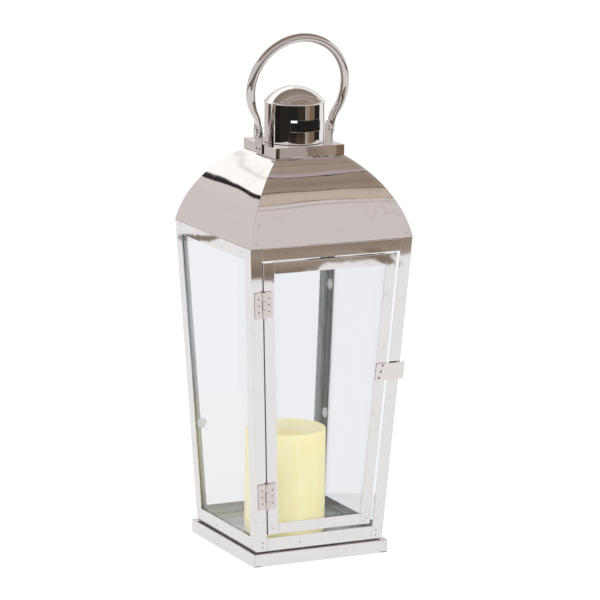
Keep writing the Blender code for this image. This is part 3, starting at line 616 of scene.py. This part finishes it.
def make_door():
    """Stiles and rails folded round the pane, with the rails butted between the stiles."""
    foot = body_half(DOOR_BOTTOM_Z)
    back, fold = SHEET - foot, DOOR_DEPTH - foot
    for name, side, inset in (("hinge", -1, DOOR_HINGE_INSET), ("latch", 1, DOOR_LATCH_INSET)):
        edge = foot - inset
        section = [(edge, -foot), (edge - STILE, -foot), (edge - STILE, back), (edge - SHEET, back)]
        section += [(edge - SHEET, fold), (edge, fold)]
        bm = bmesh.new()
        outline = fillet([(side * x, y) for x, y in section], 0.6 * MM, (0,))
        leaning_bar(bm, outline, DOOR_BOTTOM_Z, DOOR_TOP_Z, (side * TAPER, -TAPER), 12)
        bm.normal_update()
        for face in bm.faces:
            middle = face.calc_center_median()
            # The hinge stile's folded faces take a dark colour: painted shade in the gap beside the post.
            folded = abs(middle.x) > body_half(middle.z) - inset - 0.1 * MM
            face.material_index = int(folded and side < 0)
        name = f"door_stile_{name}"
        add_piece(f"{name}_sheet", bm, ("bars", "gap"), "door", [name], 0.15 * MM)
    left = DOOR_HINGE_INSET + STILE + 0.12 * MM
    right = DOOR_LATCH_INSET + STILE + 0.12 * MM
    for name, edge_z, inward in (("bottom", DOOR_BOTTOM_Z, 1), ("top", DOOR_TOP_Z, -1)):
        inner_z, fold_z = edge_z + inward * STILE, edge_z + inward * SHEET
        outline = [
            (-body_half(edge_z), edge_z),
            (-body_half(inner_z), inner_z),
            (-body_half(inner_z) + SHEET, inner_z),
            (-body_half(fold_z) + SHEET, fold_z),
            (-body_half(fold_z) + DOOR_DEPTH, fold_z),
            (-body_half(edge_z) + DOOR_DEPTH, edge_z),
        ]
        bm = bmesh.new()
        between(bm, fillet(outline, 0.6 * MM, (0,)), left, right, 0, 8)
        add_piece(f"door_rail_{name}_sheet", bm, "bars", "door", [f"door_rail_{name}"], 0.15 * MM)
    margin = SHEET + 2 * GAP
    pane(
        "door_pane",
        wall(DOOR_BOTTOM_Z + margin, DOOR_TOP_Z - margin, DOOR_PANE_DEPTH, DOOR_PANE_DEPTH + GLASS),
        DOOR_HINGE_INSET + margin,
        DOOR_LATCH_INSET + margin,
        0,
        "door",
        "door_glass",
    )


def hinge_leaf(bm, side, knuckles, matrix):
    """One leaf: a plate with rounded outer corners, whose edge curls round the pin in its knuckles."""
    front = HINGE_STAND_OFF - GAP - LEAF_THICK
    half = HINGE_HEIGHT / 2
    clearance = KNUCKLE_R + GAP
    near, far = side * clearance, side * LEAF_WIDTH
    plate = fillet([(near, -half), (far, -half), (far, half), (near, half)], 1.0 * MM, (1, 2))
    loft(bm, [[matrix @ Vector((x, y, z)) for x, z in plate] for y in (front, front + LEAF_THICK)])
    root = clearance + 0.1 * MM
    section = [(root, front + LEAF_THICK), (root, front), (KNUCKLE_R * 0.9, front)]
    section += arc((0.0, 0.0), KNUCKLE_R, 52.0, -250.0, 20)[3:]
    section += arc((0.0, 0.0), KNUCKLE_BORE_R, -250.0, 52.0, 20)
    pitch = HINGE_HEIGHT / 3
    for knuckle in knuckles:
        middle = (knuckle - 1) * pitch
        low, high = middle - pitch / 2 + 0.1 * MM, middle + pitch / 2 - 0.1 * MM
        loft(bm, [[matrix @ Vector((side * x, y, z)) for x, y in section] for z in (low, high)])


def make_hinges():
    for name, z in HINGE_Z.items():
        matrix = face_matrix(HINGE_INSET, z, -1, HINGE_STAND_OFF)
        for leaf, side, knuckles, body in (("frame", -1, (0, 2), "frame"), ("door", 1, (1,), "door")):
            bm = bmesh.new()
            hinge_leaf(bm, side, knuckles, matrix)
            node = f"hinge_{name}_{leaf}_leaf"
            add_piece(f"{node}_plate", bm, "hinge", body, [node], 0.12 * MM)
            bm = bmesh.new()
            for across, up in ((5.4, 6.3), (5.1, 0.0), (5.2, -6.6)):
                spot = Vector((side * across * MM, HINGE_STAND_OFF - GAP - LEAF_THICK, up * MM))
                place = matrix @ Matrix.Translation(spot) @ OUTWARD
                turned(bm, rivet_profile(0.85 * MM, 0.22 * MM), 16, place)
            add_piece(f"{node}_rivets", bm, "dot", body)
        half, head = HINGE_HEIGHT / 2 + GAP, KNUCKLE_R * 0.8
        bm = bmesh.new()
        end = [(0.0, half + 0.55 * MM), (head * 0.6, half + 0.45 * MM), (head, half + 0.1 * MM)]
        end.append((head, half))
        profile = end + [(0.6 * MM, half), (0.6 * MM, -half)] + [(r, -h) for r, h in end[::-1]]
        turned(bm, profile, 24, matrix)
        add_piece(f"hinge_{name}_pin_round", bm, "rivet", "frame", [f"hinge_{name}_pin"])


def strip_outline(path, thickness):
    """The closed outline of a bent strip from its middle line."""
    points = [Vector(p) for p in path]
    sides = ([], [])
    for i, point in enumerate(points):
        before = (point - points[i - 1]).normalized() if i else None
        after = (points[i + 1] - point).normalized() if i + 1 < len(points) else None
        along = ((before or after) + (after or before)).normalized()
        normal = Vector((-along.y, along.x))
        reach = thickness / 2 / max(0.5, along.dot(after or before))
        sides[0].append(point + normal * reach)
        sides[1].append(point - normal * reach)
    return [tuple(p) for p in sides[0] + sides[1][::-1]]


def make_latch():
    """One spring strip from the rivets to the hook, which rises where it leaves the stile."""
    z_low, z_high = LATCH_Z
    half = body_half(z_low)
    edge = half - DOOR_LATCH_INSET
    surface = -half - GAP - LATCH_THICK / 2
    arm_y = surface - LATCH_RISE
    bend = 2.0 * MM
    hook = arc((half + LATCH_REACH, arm_y + bend), bend, -90.0, -14.0, 8)
    last = math.radians(14.0)
    tip = Vector(hook[-1]) + Vector((math.sin(last), math.cos(last))) * (LATCH_HOOK - bend)
    rise_end = edge + 3.4 * MM
    path = [(edge - STILE + GAP, surface)]
    for k in range(9):
        f = k / 8
        ease = f * f * (3 - 2 * f)
        path.append((edge - 0.2 * MM + (rise_end - edge + 0.2 * MM) * f, surface - LATCH_RISE * ease))
    outline = strip_outline(path + hook + [tuple(tip)], LATCH_THICK)
    bm = bmesh.new()
    leaning_bar(bm, outline, z_low, z_high, (TAPER, -TAPER), 4)
    strip = add_piece("latch_strip", bm, "spring", None, ["latch_plate", "latch_arm"], 0.15 * MM)
    settle(strip)
    middle = (z_low + z_high) / 2
    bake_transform(strip)
    for name, step in (("lower", -1), ("middle", 0), ("upper", 1)):
        inset = DOOR_LATCH_INSET + STILE / 2 - step * 1.4 * MM
        matrix = face_matrix(inset, middle + step * 6.0 * MM, 1, 0.0)
        bm = bmesh.new()
        turned(bm, rivet_profile(1.2 * MM, 0.3 * MM, LATCH_THICK + GAP), 20, matrix @ OUTWARD)
        matrix = matrix @ Matrix.Translation((0.0, SHEET, 0.0))
        turned(bm, rivet_profile(1.2 * MM, 0.3 * MM), 20, matrix @ INWARD)
        add_piece(f"latch_rivet_{name}_heads", bm, "dot", "door", [f"latch_rivet_{name}"])


# ---- roof and chimney


def make_roof():
    """Four curved panels. The side panels' edges are folded over the front and rear ones at the hips."""
    start = math.asin((SHOULDER_Z + GAP - ROOF_ARC_Z) / ROOF_ARC_R)
    end = math.asin((ROOF_TOP_Z - ROOF_ARC_Z) / ROOF_ARC_R)
    steps = 48
    fold = 0.22 * MM

    def point(radius, i):
        angle = start + (end - start) * i / steps
        return -(ROOF_ARC_HALF + radius * math.cos(angle)), ROOF_ARC_Z + radius * math.sin(angle)

    for quarter, side in enumerate(SIDES):
        lapped = quarter % 2 == 0
        outer_r = ROOF_ARC_R - (fold if lapped else 0.0)
        outer = [point(outer_r, i) for i in range(steps + 1)]
        inner = [point(ROOF_ARC_R - SHEET, i) for i in range(steps + 1)]
        bm = bmesh.new()
        seam = 0.04 * MM
        cross_bar(bm, outer + inner[::-1], lambda y, z: y + seam, lambda y, z: -y - seam, quarter, 24)
        if lapped:
            turn = Matrix.Rotation(quarter * math.pi / 2, 3, "Z")
            for across in (-1, 1):
                rings = []
                for i in range(steps + 1):
                    y, z = point(ROOF_ARC_R, i)
                    below_y, below_z = point(outer_r - 0.1 * MM, i)
                    width = (3.1 - 0.6 * i / steps) * MM
                    x = -y - seam
                    ring = [(x, y, z), (x - width, y, z)]
                    ring += [(x - width, below_y, below_z), (x, below_y, below_z)]
                    rings.append([turn @ Vector((across * a, b, c)) for a, b, c in ring])
                loft(bm, rings)
        add_piece(f"roof_panel_{side}", bm, "roof", "frame", [f"roof_{side}"], 0.08 * MM, 30.0)


def make_collar():
    """The square cap on the roof's top, folded from one sheet, with the flue's hole."""
    half, low = COLLAR_HALF, ROOF_TOP_Z + GAP
    bm = bmesh.new()
    corners = [(-half, -half), (half, -half), (half, half), (-half, half)]
    outline = fillet(corners, 0.8 * MM, (0, 1, 2, 3), 5)
    fold = 0.35 * MM
    inner = [(x * (1 - SHEET / half), y * (1 - SHEET / half)) for x, y in outline]
    top = [(x * (1 - fold / half), y * (1 - fold / half)) for x, y in outline]
    steps = 96
    angles = [2 * math.pi * k / steps for k in range(steps)]
    hole = [(FLUE_R * math.cos(a), FLUE_R * math.sin(a)) for a in angles]

    def walls(*levels):
        return loft(bm, [[(x, y, z) for x, y in ring] for ring, z in levels], caps=False)

    verts = walls((inner, low), (outline, low), (outline, COLLAR_TOP_Z - fold), (top, COLLAR_TOP_Z))
    under = walls((inner, low), (inner, COLLAR_TOP_Z - SHEET))
    rims = walls((hole, COLLAR_TOP_Z), (hole, COLLAR_TOP_Z - SHEET))
    for ring, rim in ((verts[-1], rims[0]), (under[-1], rims[1])):
        edges = []
        for loop in (ring, rim):
            edges += [bm.edges.get((a, b)) for a, b in zip(loop, loop[1:] + loop[:1])]
        bmesh.ops.triangle_fill(bm, use_beauty=True, edges=edges)
    add_piece("collar_sheet", bm, "roof", "frame", ["roof_collar"], 0.0, 40.0)


def make_chimney():
    """The slotted tube, and the domed cap with its rolled brim."""
    low, high = COLLAR_TOP_Z + GAP, CHIMNEY_TOP_Z
    slot_angle = math.asin(SLOT_HALF / CHIMNEY_R)
    angles = []
    for middle in (-math.pi / 2, math.pi / 2):
        angles += [middle - slot_angle + 2 * slot_angle * k / 24 for k in range(24)]
        start, span = middle + slot_angle, math.pi - 2 * slot_angle
        angles += [start + span * k / 48 for k in range(48)]
    levels = [low, SLOT_Z[0], SLOT_Z[1], high]
    bm = bmesh.new()
    grids = []
    for radius in (CHIMNEY_R, CHIMNEY_R - SHEET):
        ring = [(radius * math.cos(a), radius * math.sin(a)) for a in angles]
        grids.append([[bm.verts.new((x, y, z)) for x, y in ring] for z in levels])
    outer, inner = grids
    count = len(angles)

    def open_at(row, k):
        return row == 1 and k % 72 < 24

    for k in range(count):
        nxt = (k + 1) % count
        for row in range(3):
            if open_at(row, k):
                continue
            for grid in grids:
                bm.faces.new((grid[row][k], grid[row][nxt], grid[row + 1][nxt], grid[row + 1][k]))
            for here, there in ((k, (k - 1) % count), (nxt, nxt)):
                if open_at(row, there):
                    up = row + 1
                    bm.faces.new((outer[row][here], outer[up][here], inner[up][here], inner[row][here]))
        for row in (0, 3, 1, 2) if open_at(1, k) else (0, 3):
            bm.faces.new((outer[row][k], outer[row][nxt], inner[row][nxt], inner[row][k]))
    # The tube's inner faces take the near-black colour: painted shade inside the flue.
    for face in bm.faces:
        face.material_index = int(all(v.co.xy.length < CHIMNEY_R - 0.5 * MM for v in face.verts))
    add_piece("flue_tube", bm, ("chimney", "flue_shade"), "frame", ["chimney_tube"], 0.15 * MM)

    brim_z = CHIMNEY_TOP_Z + 0.1 * MM
    brim_r, dome_r = CHIMNEY_R + 0.7 * MM, CHIMNEY_R - 0.3 * MM
    plug_r = CHIMNEY_R - SHEET - GAP
    radius = (dome_r**2 + CAP_RISE**2) / (2 * CAP_RISE)
    centre_z = CHIMNEY_TOP_Z + GAP + SHEET + CAP_RISE - radius
    edge = math.degrees(math.asin((radius - CAP_RISE) / radius))
    outer = arc((0.0, centre_z), radius, 90.0, edge + 1.2, 40)
    under = arc((0.0, centre_z), radius - SHEET, edge + 4.0, 90.0, 20)
    outer[0], under[-1] = (0.0, outer[0][1]), (0.0, under[-1][1])
    roll = arc((brim_r - 0.62 * MM, brim_z + 0.6 * MM), 0.6 * MM, 105.0, -90.0, 10)
    plug_z = brim_z - 4 * SHEET
    rim = [(plug_r, brim_z), (plug_r, plug_z), (plug_r - SHEET, plug_z), (plug_r - SHEET, under[0][1])]
    bm = bmesh.new()
    turned(bm, outer + roll + rim + under, 128)
    add_piece("dome_cap", bm, "chimney", "frame", ["chimney_cap"], 0.0, 50.0)


# ---- handle


def make_brackets():
    """The straps on the collar, their rivets, and the pivot rivets with a washer face and a dimple."""
    for name, side in (("left", -1), ("right", 1)):
        outline = [(-BRACKET_HALF, ROOF_TOP_Z + GAP), (BRACKET_HALF, ROOF_TOP_Z + GAP)]
        outline += arc((0.0, PIVOT_Z), BRACKET_HALF, 0.0, 180.0, 32)
        bm = bmesh.new()
        depths = (BRACKET_X - GAP, BRACKET_X + BRACKET_THICK)
        loft(bm, [[(side * x, y, z) for y, z in outline] for x in depths])
        node = f"handle_bracket_{name}"
        add_piece(f"strap_{name}", bm, "rivet", "frame", [node], 0.25 * MM)
        outward = Matrix.Rotation(side * math.pi / 2, 4, "Y")
        top = LUG_X + LUG_THICK + GAP - BRACKET_X
        profile = [(0.0, 0.45), (0.6, 0.48), (1.1, 0.65), (1.5, 0.92), (1.75, 1.02), (2.0, 1.0)]
        profile += [(2.7, 0.75), (3.1, 0.4), (3.3, 0.15), (3.3, 0.0)]
        profile = [(r * MM, top + h * MM) for r, h in profile]
        profile += [(1.7 * MM, top), (1.7 * MM, -GAP), (3.0 * MM, -GAP), (3.0 * MM, -GAP - 0.6 * MM)]
        profile += [(0.0, -GAP - 0.7 * MM)]
        bm = bmesh.new()
        turned(bm, profile, 40, Matrix.Translation((side * BRACKET_X, 0.0, PIVOT_Z)) @ outward)
        add_piece(f"pivot_{name}", bm, "rivet", "frame", [f"pivot_rivet_{name}"], 0.0, 45.0)
        for row, y in (("front", -BRACKET_RIVET_Y), ("rear", BRACKET_RIVET_Y)):
            place = Matrix.Translation((side * BRACKET_X, y, BRACKET_RIVET_Z)) @ outward
            bm = bmesh.new()
            turned(bm, rivet_profile(1.3 * MM, 0.4 * MM, BRACKET_THICK), 20, place)
            place = place @ Matrix.Rotation(math.pi, 4, "Y")
            turned(bm, rivet_profile(1.3 * MM, 0.3 * MM, SHEET + GAP), 20, place)
            node = f"bracket_rivet_{name}_{row}"
            add_piece(f"{node}_head", bm, "dot", "frame", [node])


def ring_path(lug_x):
    """The handle's middle line from the left lug's end to the top of the ring, with its flatness."""
    meet = RING_RISE - math.sqrt(RING_R**2 - lug_x**2)
    low, high = meet - 5.0 * MM, meet + 5.0 * MM
    lug_end = -LUG_HALF * 0.97
    shares = (0.0, 0.03, 0.08, 0.15, 0.24, 0.34, 0.46, 0.6, 0.8, 1.0)
    points = [(-lug_x, lug_end + (low - lug_end) * f, 1.0) for f in shares]
    start = math.asin((high - RING_RISE) / RING_R)
    after = (-RING_R * math.cos(start), high)
    for t in (0.15, 0.3, 0.45, 0.6, 0.75, 0.9):
        x = (1 - t) ** 2 * -lug_x + 2 * t * (1 - t) * -lug_x + t**2 * after[0]
        z = (1 - t) ** 2 * low + 2 * t * (1 - t) * meet + t**2 * after[1]
        points.append((x, z, 1.0 - 0.6 * t))
    steps = 56
    for i in range(steps + 1):
        angle = start + (math.pi / 2 - start) * i / steps
        flat = max(0.0, 0.45 * (1 - i / 9))
        points.append((-RING_R * math.cos(angle), RING_RISE + RING_R * math.sin(angle), flat))
    return points


def make_handle():
    """The ring handle: a tube whose ends are flattened into drilled lugs."""
    lug_x = LUG_X + LUG_THICK / 2
    left = ring_path(lug_x)
    path = left + [(-x, z, flat) for x, z, flat in left[-2::-1]]
    sides = 40
    pivot = Matrix.Translation((0.0, 0.0, PIVOT_Z)) @ Matrix.Rotation(HANDLE_LEAN, 4, "X")
    rings = []
    for i, (x, z, flat) in enumerate(path):
        before, after = path[max(0, i - 1)], path[min(len(path) - 1, i + 1)]
        along = Vector((after[0] - before[0], 0.0, after[1] - before[1])).normalized()
        across = Vector((along.z, 0.0, -along.x))
        deep = RING_TUBE_R + (LUG_THICK / 2 - RING_TUBE_R) * flat
        wide = RING_TUBE_R + (LUG_HALF - RING_TUBE_R) * flat
        if z < 0.0:
            wide = math.sqrt(max(LUG_HALF**2 - z**2, (0.18 * LUG_HALF) ** 2))
        power = 1.0 - 0.55 * flat
        ring = []
        for k in range(sides):
            angle = 2 * math.pi * (k + 0.5) / sides
            c, s = math.cos(angle), math.sin(angle)
            spot = Vector((x, 0.0, z)) + across * deep * math.copysign(abs(c) ** power, c)
            spot.y += wide * math.copysign(abs(s) ** power, s)
            ring.append(pivot @ spot)
        rings.append(ring)
    bm = bmesh.new()
    loft(bm, rings)
    handle = add_piece("ring_handle", bm, "ring", None, ["handle_ring"], 0.0, 55.0)
    bm = bmesh.new()
    across = Matrix.Translation((0.0, 0.0, PIVOT_Z)) @ Matrix.Rotation(math.pi / 2, 4, "Y")
    bore_r, reach = 2.0 * MM, 2 * RING_R
    turned(bm, [(0.0, reach), (bore_r, reach), (bore_r, -reach), (0.0, -reach)], 40, across)
    bore = add_piece("pivot_bore", bm, "ring", "handle")
    cut = handle.modifiers.new("bore", "BOOLEAN")
    cut.operation = "DIFFERENCE"
    cut.solver = "EXACT"
    cut.object = bore
    settle(handle)
    bpy.data.objects.remove(bore)
    handle.data.set_sharp_from_angle(angle=math.radians(50.0))
    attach(handle, "handle")


# ---- candle


def make_candle():
    """The wax pillar with its hand-smoothed rim and recess; the light below it keeps its CAD solids."""
    top, lip = CANDLE_HEIGHT, 3.6 * MM
    lip_r, inner_r, painted_glow_r = CANDLE_R - lip, CANDLE_R - CANDLE_WALL, 17.5 * MM
    ceiling = top - RECESS_DEPTH - 8.0 * MM
    bowl = ((0.0, 9.0), (5.0, 9.0), (10.0, 8.95), (13.0, 8.8), (15.5, 8.5), (17.5, 7.9), (19.0, 7.1))
    bowl += ((20.5, 6.3), (22.5, 5.6), (25.0, 5.0), (28.0, 4.4), (31.0, 3.8), (33.2, 3.1))
    profile = [(r * MM, top - depth * MM) for r, depth in bowl]
    profile += [(lip_r, top - 2.2 * MM)]
    profile += arc((CANDLE_R - lip / 2, top - lip / 2), lip / 2, 165.0, 0.0, 12)
    profile += [(CANDLE_R, top - (8.0 + 9.0 * k) * MM) for k in range(10)]
    profile += [(CANDLE_R, 1.6 * MM), (CANDLE_R - 0.4 * MM, 0.5 * MM), (CANDLE_R - 1.4 * MM, 0.0)]
    chamfer = 6.0 * MM
    profile += [(inner_r, 0.0), (inner_r, ceiling - chamfer), (inner_r - chamfer, ceiling), (0.0, ceiling)]
    bm = bmesh.new()
    turned(bm, profile, 96)
    # Recess faces take the paler wax, painted light against the recess's shade.
    for face in bm.faces:
        middle = face.calc_center_median()
        radius = math.hypot(middle.x, middle.y)
        inside = middle.z > ceiling + MM
        # The middle of the recess takes the deeper yellow wax: a painted glow with painted shade.
        face.material_index = int(inside and radius < lip_r + 0.5 * MM) + int(inside and radius < painted_glow_r)
    for vert in bm.verts:
        high = max(0.0, (vert.co.z - top + 12.0 * MM) / (12.0 * MM))
        swell = noise.noise(Vector((vert.co.x, vert.co.y, 0.0)) * 38.0)
        vert.co.z -= high * (0.5 + 0.5 * swell + 0.5 * vert.co.y / CANDLE_R) * MM
        shrink = 1.0 - 0.0035 * (0.5 + noise.noise(vert.co * 45.0))
        vert.co.x *= shrink
        vert.co.y *= shrink
    bmesh.ops.translate(bm, vec=(CANDLE_X, CANDLE_Y, CANDLE_Z), verts=bm.verts)
    add_piece("wax_pillar", bm, ("wax", "recess", "painted_glow"), "candle", ["candle_wax"], 0.0, 60.0)


def finish_cad_nodes():
    """The nodes whose CAD shape is right get their materials."""
    keys = {
        "floor_plate": "floor",
        "candle_module": "plastic",
        "battery_cover": "plastic",
        "candle_switch": "black",
        "battery_front": "cell",
        "battery_rear": "cell",
        "candle_lamp": "lens",
    }
    for node, key in keys.items():
        obj = frame["nodes"][node]
        obj.data.materials.clear()
        obj.data.materials.append(M[key])


# ---- studio


def sheet(name, corners):
    """A flat sheet of the studio."""
    mesh = bpy.data.meshes.new(name)
    mesh.from_pydata(corners, [], [range(len(corners))])
    obj = bpy.data.objects.new(name, mesh)
    bpy.context.scene.collection.objects.link(obj)
    return obj


def level(x0, x1, y0, y1, z=0.002):
    """The corners of a rectangle at one height."""
    return ((x0, y0, z), (x1, y0, z), (x1, y1, z), (x0, y1, z))


def upright(x0, x1, y, z0, z1):
    """The corners of a rectangle that stands across Y."""
    return ((x0, y, z0), (x1, y, z0), (x1, y, z1), (x0, y, z1))


def card(name, corners, stops, axis=1, wobble=0.0, grain=3.0):
    """A flat card that only reflections see. stops are colours at positions along X, Y or Z."""
    obj = sheet(name, corners)
    n = Nodes(name)
    n.tree.nodes.remove(n.shader)
    if len(stops) == 1:
        stops = [(0.0, stops[0][1]), (1.0, tuple(0.93 * c for c in stops[0][1]))]
        value = n.noise(1.3, 3.0)
    else:
        first, last = stops[0][0], stops[-1][0]
        stops = [((at - first) / (last - first), colour) for at, colour in stops]
        split = n.add("ShaderNodeSeparateXYZ", {"Vector": n.place}).outputs[axis]
        wave = n.ramp(n.noise(grain, 3.0, 0.55), 0.0, 1.0, -wobble, wobble)
        value = n.ramp(n.math("ADD", split, wave), first, last, 0.0, 1.0)
    ramp = n.add("ShaderNodeValToRGB", {"Fac": value})
    elements = ramp.color_ramp.elements
    while len(elements) < len(stops):
        elements.new(0.5)
    for element, (at, _) in zip(elements, stops):
        element.position = at
    for element, (_, colour) in zip(elements, stops):
        element.color = (*colour, 1.0)
    emission = n.add("ShaderNodeEmission", {"Color": ramp.outputs["Color"]})
    n.tree.links.new(emission.outputs[0], n.tree.nodes["Material Output"].inputs["Surface"])
    obj.data.materials.append(n.material)
    obj.visible_camera = False
    obj.visible_diffuse = False
    obj.visible_transmission = False
    obj.visible_shadow = False


CAMERA_SIDE = -116.05
STAND_RADIUS = 2.0
STAND_HEIGHT = 0.24


def standing(name, start, end, low, high=None):
    """An upright card between two angles from the camera's side, of one colour or with another on top."""
    corners = []
    for angle, z in ((start, 0.0), (end, 0.0), (end, STAND_HEIGHT), (start, STAND_HEIGHT)):
        a = math.radians(CAMERA_SIDE + angle)
        corners.append((STAND_RADIUS * math.cos(a), STAND_RADIUS * math.sin(a), z))
    stops = [(0.0, low)]
    if high:
        stops += [(0.088, low), (0.1, high), (STAND_HEIGHT, high)]
    card(name, corners, stops, 2, 0.006, 12.0)


def lamp(name, energy, place, target):
    """A round soft light that lights matt surfaces only, so that no mirror shows it."""
    data = bpy.data.lights.new(name, "AREA")
    data.shape, data.size, data.energy = "DISK", 1.2, energy
    obj = bpy.data.objects.new(name, data)
    bpy.context.scene.collection.objects.link(obj)
    obj.location = place
    obj.rotation_euler = (Vector(target) - obj.location).to_track_quat("-Z", "Y").to_euler()
    obj.visible_glossy = False
    obj.visible_transmission = False


def make_stage():
    """Pale paper, a white surround, and the cards whose reflections shade the polished metal."""
    floor = sheet("studio_floor", level(-6.0, 6.0, -6.0, 6.0, -0.0002))
    paper = Nodes("studio_paper")
    paper.set(Emission_Color=(1.0, 1.0, 1.0, 1.0), Emission_Strength=0.9)
    paper.set(Roughness=1.0, Specular_IOR_Level=0.0)
    paper.wire(Base_Color=paper.mix(paper.noise(2.0), (0.14, 0.14, 0.14), (0.15, 0.15, 0.15)))
    floor.data.materials.append(paper.material)

    world = bpy.data.worlds.new("studio")
    bpy.context.scene.world = world
    world.use_nodes = True
    world.node_tree.nodes["Background"].inputs["Color"].default_value = (1.0, 1.0, 1.0, 1.0)
    world.node_tree.nodes["Background"].inputs["Strength"].default_value = 1.0

    umber, tan, black = (0.27, 0.215, 0.165), (0.42, 0.35, 0.28), (0.03, 0.028, 0.026)
    grey, pink, haze = (0.50, 0.44, 0.41), (0.79, 0.735, 0.72), (0.83, 0.78, 0.765)
    near_edge = ((0.7, -1.70), (4.0, -1.70), (4.0, -0.938), (0.43, -0.93), (0.40, -0.895), (0.34, -0.875))
    corners = [(x, y, 0.002) for x, y in ((-3.0, -0.87), (-3.0, -4.5), *near_edge)]
    stops = [(-1.7, umber), (-1.15, tan), (-1.05, umber), (-0.95, tan), (-0.9, umber), (-0.8, umber)]
    card("floor_beyond_paper", corners, stops, 1, 0.05, 6.0)
    stops = [(0.2, grey), (1.075, grey), (1.085, umber), (1.5, tan), (3.0, umber)]
    card("floor_front_far", level(0.2, 3.0, -3.6, -1.71), stops, 0, 0.05, 4.0)
    card("floor_back_far", level(-3.5, 0.2, 1.45, 3.5), [(0.0, (0.75, 0.70, 0.68))])
    standing("stand_far_left", -117.0, -101.0, (0.11, 0.06, 0.045))
    standing("stand_left", -78.0, -56.0, (0.016, 0.014, 0.012))
    standing("person_left", -56.0, -20.0, (0.026, 0.022, 0.018))
    standing("person_middle", -20.0, 14.0, (0.08, 0.058, 0.04), (0.02, 0.02, 0.018))
    standing("person_right", 14.0, 43.0, (0.09, 0.066, 0.045), (0.04, 0.034, 0.027))
    standing("stand_right", 60.0, 83.0, (0.25, 0.17, 0.115))
    standing("stand_far_right", 83.0, 112.0, (0.025, 0.022, 0.02))
    stops = [
        (-1.80, (0.36, 0.29, 0.24)),
        (-1.71, (0.36, 0.29, 0.24)),
        (-1.68, (0.66, 0.58, 0.49)),
        (-1.40, (0.68, 0.60, 0.51)),
        (-1.16, (0.60, 0.52, 0.42)),
        (-1.14, (0.17, 0.14, 0.12)),
        (-1.11, (0.17, 0.14, 0.12)),
        (-1.07, (0.42, 0.35, 0.28)),
        (-0.80, (0.33, 0.27, 0.215)),
        (-0.45, (0.40, 0.33, 0.27)),
        (-0.44, (0.05, 0.045, 0.045)),
        (-0.40, (0.05, 0.045, 0.045)),
        (-0.39, (0.55, 0.47, 0.49)),
        (-0.25, (0.50, 0.43, 0.44)),
        (-0.23, (0.42, 0.35, 0.28)),
        (0.05, (0.45, 0.37, 0.30)),
        (0.07, (0.30, 0.24, 0.19)),
        (0.12, (0.42, 0.35, 0.28)),
        (0.70, (0.34, 0.28, 0.23)),
        (1.80, (0.27, 0.22, 0.18)),
    ]
    card("ceiling", level(-3.0, 3.6, -1.72, 1.8, 2.3), stops, 1, 0.13, 11.0)
    dull = (0.60, 0.54, 0.53)
    stops = [(0.0, pink), (5.0, pink), (5.15, dull), (5.22, dull), (5.3, pink), (7.0, pink)]
    card("wall_front", upright(-5.0, 6.0, -4.6, 0.0, 7.0), stops, 2, 0.08, 1.5)
    card("wall_back", upright(-3.6, 3.6, 3.6, 0.0, 1.5), [(0.0, haze)])
    white, shade = (1.31, 1.31, 1.28), (1.02, 1.0, 0.97)
    stops = [(1.4, haze), (1.655, haze), (1.665, black), (1.765, black), (1.785, white), (2.05, white)]
    stops += [(2.08, shade), (2.1, shade), (2.12, white), (4.2, white)]
    card("softbox_back", upright(-3.0, 1.6, 3.58, 1.4, 4.2), stops, 2, 0.07, 3.5)
    card("floor_back_spot", level(-0.61, -0.555, 1.172, 1.207), [(0.0, umber)])
    card("floor_front_spot", level(0.487, 0.515, -0.965, -0.885, 0.003), [(0.0, umber)])
    lamp("key", 14.0, (1.6, -1.6, 2.0), (0.0, 0.0, 0.2))
    lamp("fill", 5.0, (-1.9, -0.9, 0.7), (0.0, 0.0, 0.08))


def make_camera():
    data = bpy.data.cameras.new("camera")
    data.lens, data.sensor_width = 216.27, 36.0
    data.clip_start, data.clip_end = 0.1, 60.0
    camera = bpy.data.objects.new("camera", data)
    bpy.context.scene.collection.objects.link(camera)
    place = Vector((-1.48639, -3.04320, 0.93837))
    target = Vector((0.00877, 0.0, 0.23916))
    back = (place - target).normalized()
    right = Vector((0.0, 0.0, 1.0)).cross(back).normalized()
    up = back.cross(right)
    roll = math.radians(0.786)
    across = right * math.cos(roll) + up * math.sin(roll)
    above = up * math.cos(roll) - right * math.sin(roll)
    camera.matrix_world = Matrix.Translation(place) @ Matrix((across, above, back)).transposed().to_4x4()
    bpy.context.scene.camera = camera
    bpy.context.scene.view_settings.view_transform = "Standard"


make_base()
make_posts()
make_rails()
make_panes()
make_fasteners()
make_door()
make_hinges()
make_latch()
make_roof()
make_collar()
make_chimney()
make_brackets()
make_handle()
make_candle()
finish_cad_nodes()
make_stage()
make_camera()
# Glass casts no shadow, and neither it nor the polished bars take part in diffuse light.
for glass in ("pane_left", "pane_right", "pane_rear", "door_pane"):
    bpy.data.objects[glass].visible_shadow = False
    bpy.data.objects[glass].visible_diffuse = False
for piece in bpy.data.objects:
    if piece.type == "MESH" and piece.data.materials and piece.data.materials[0] == M["bars"]:
        piece.visible_diffuse = False
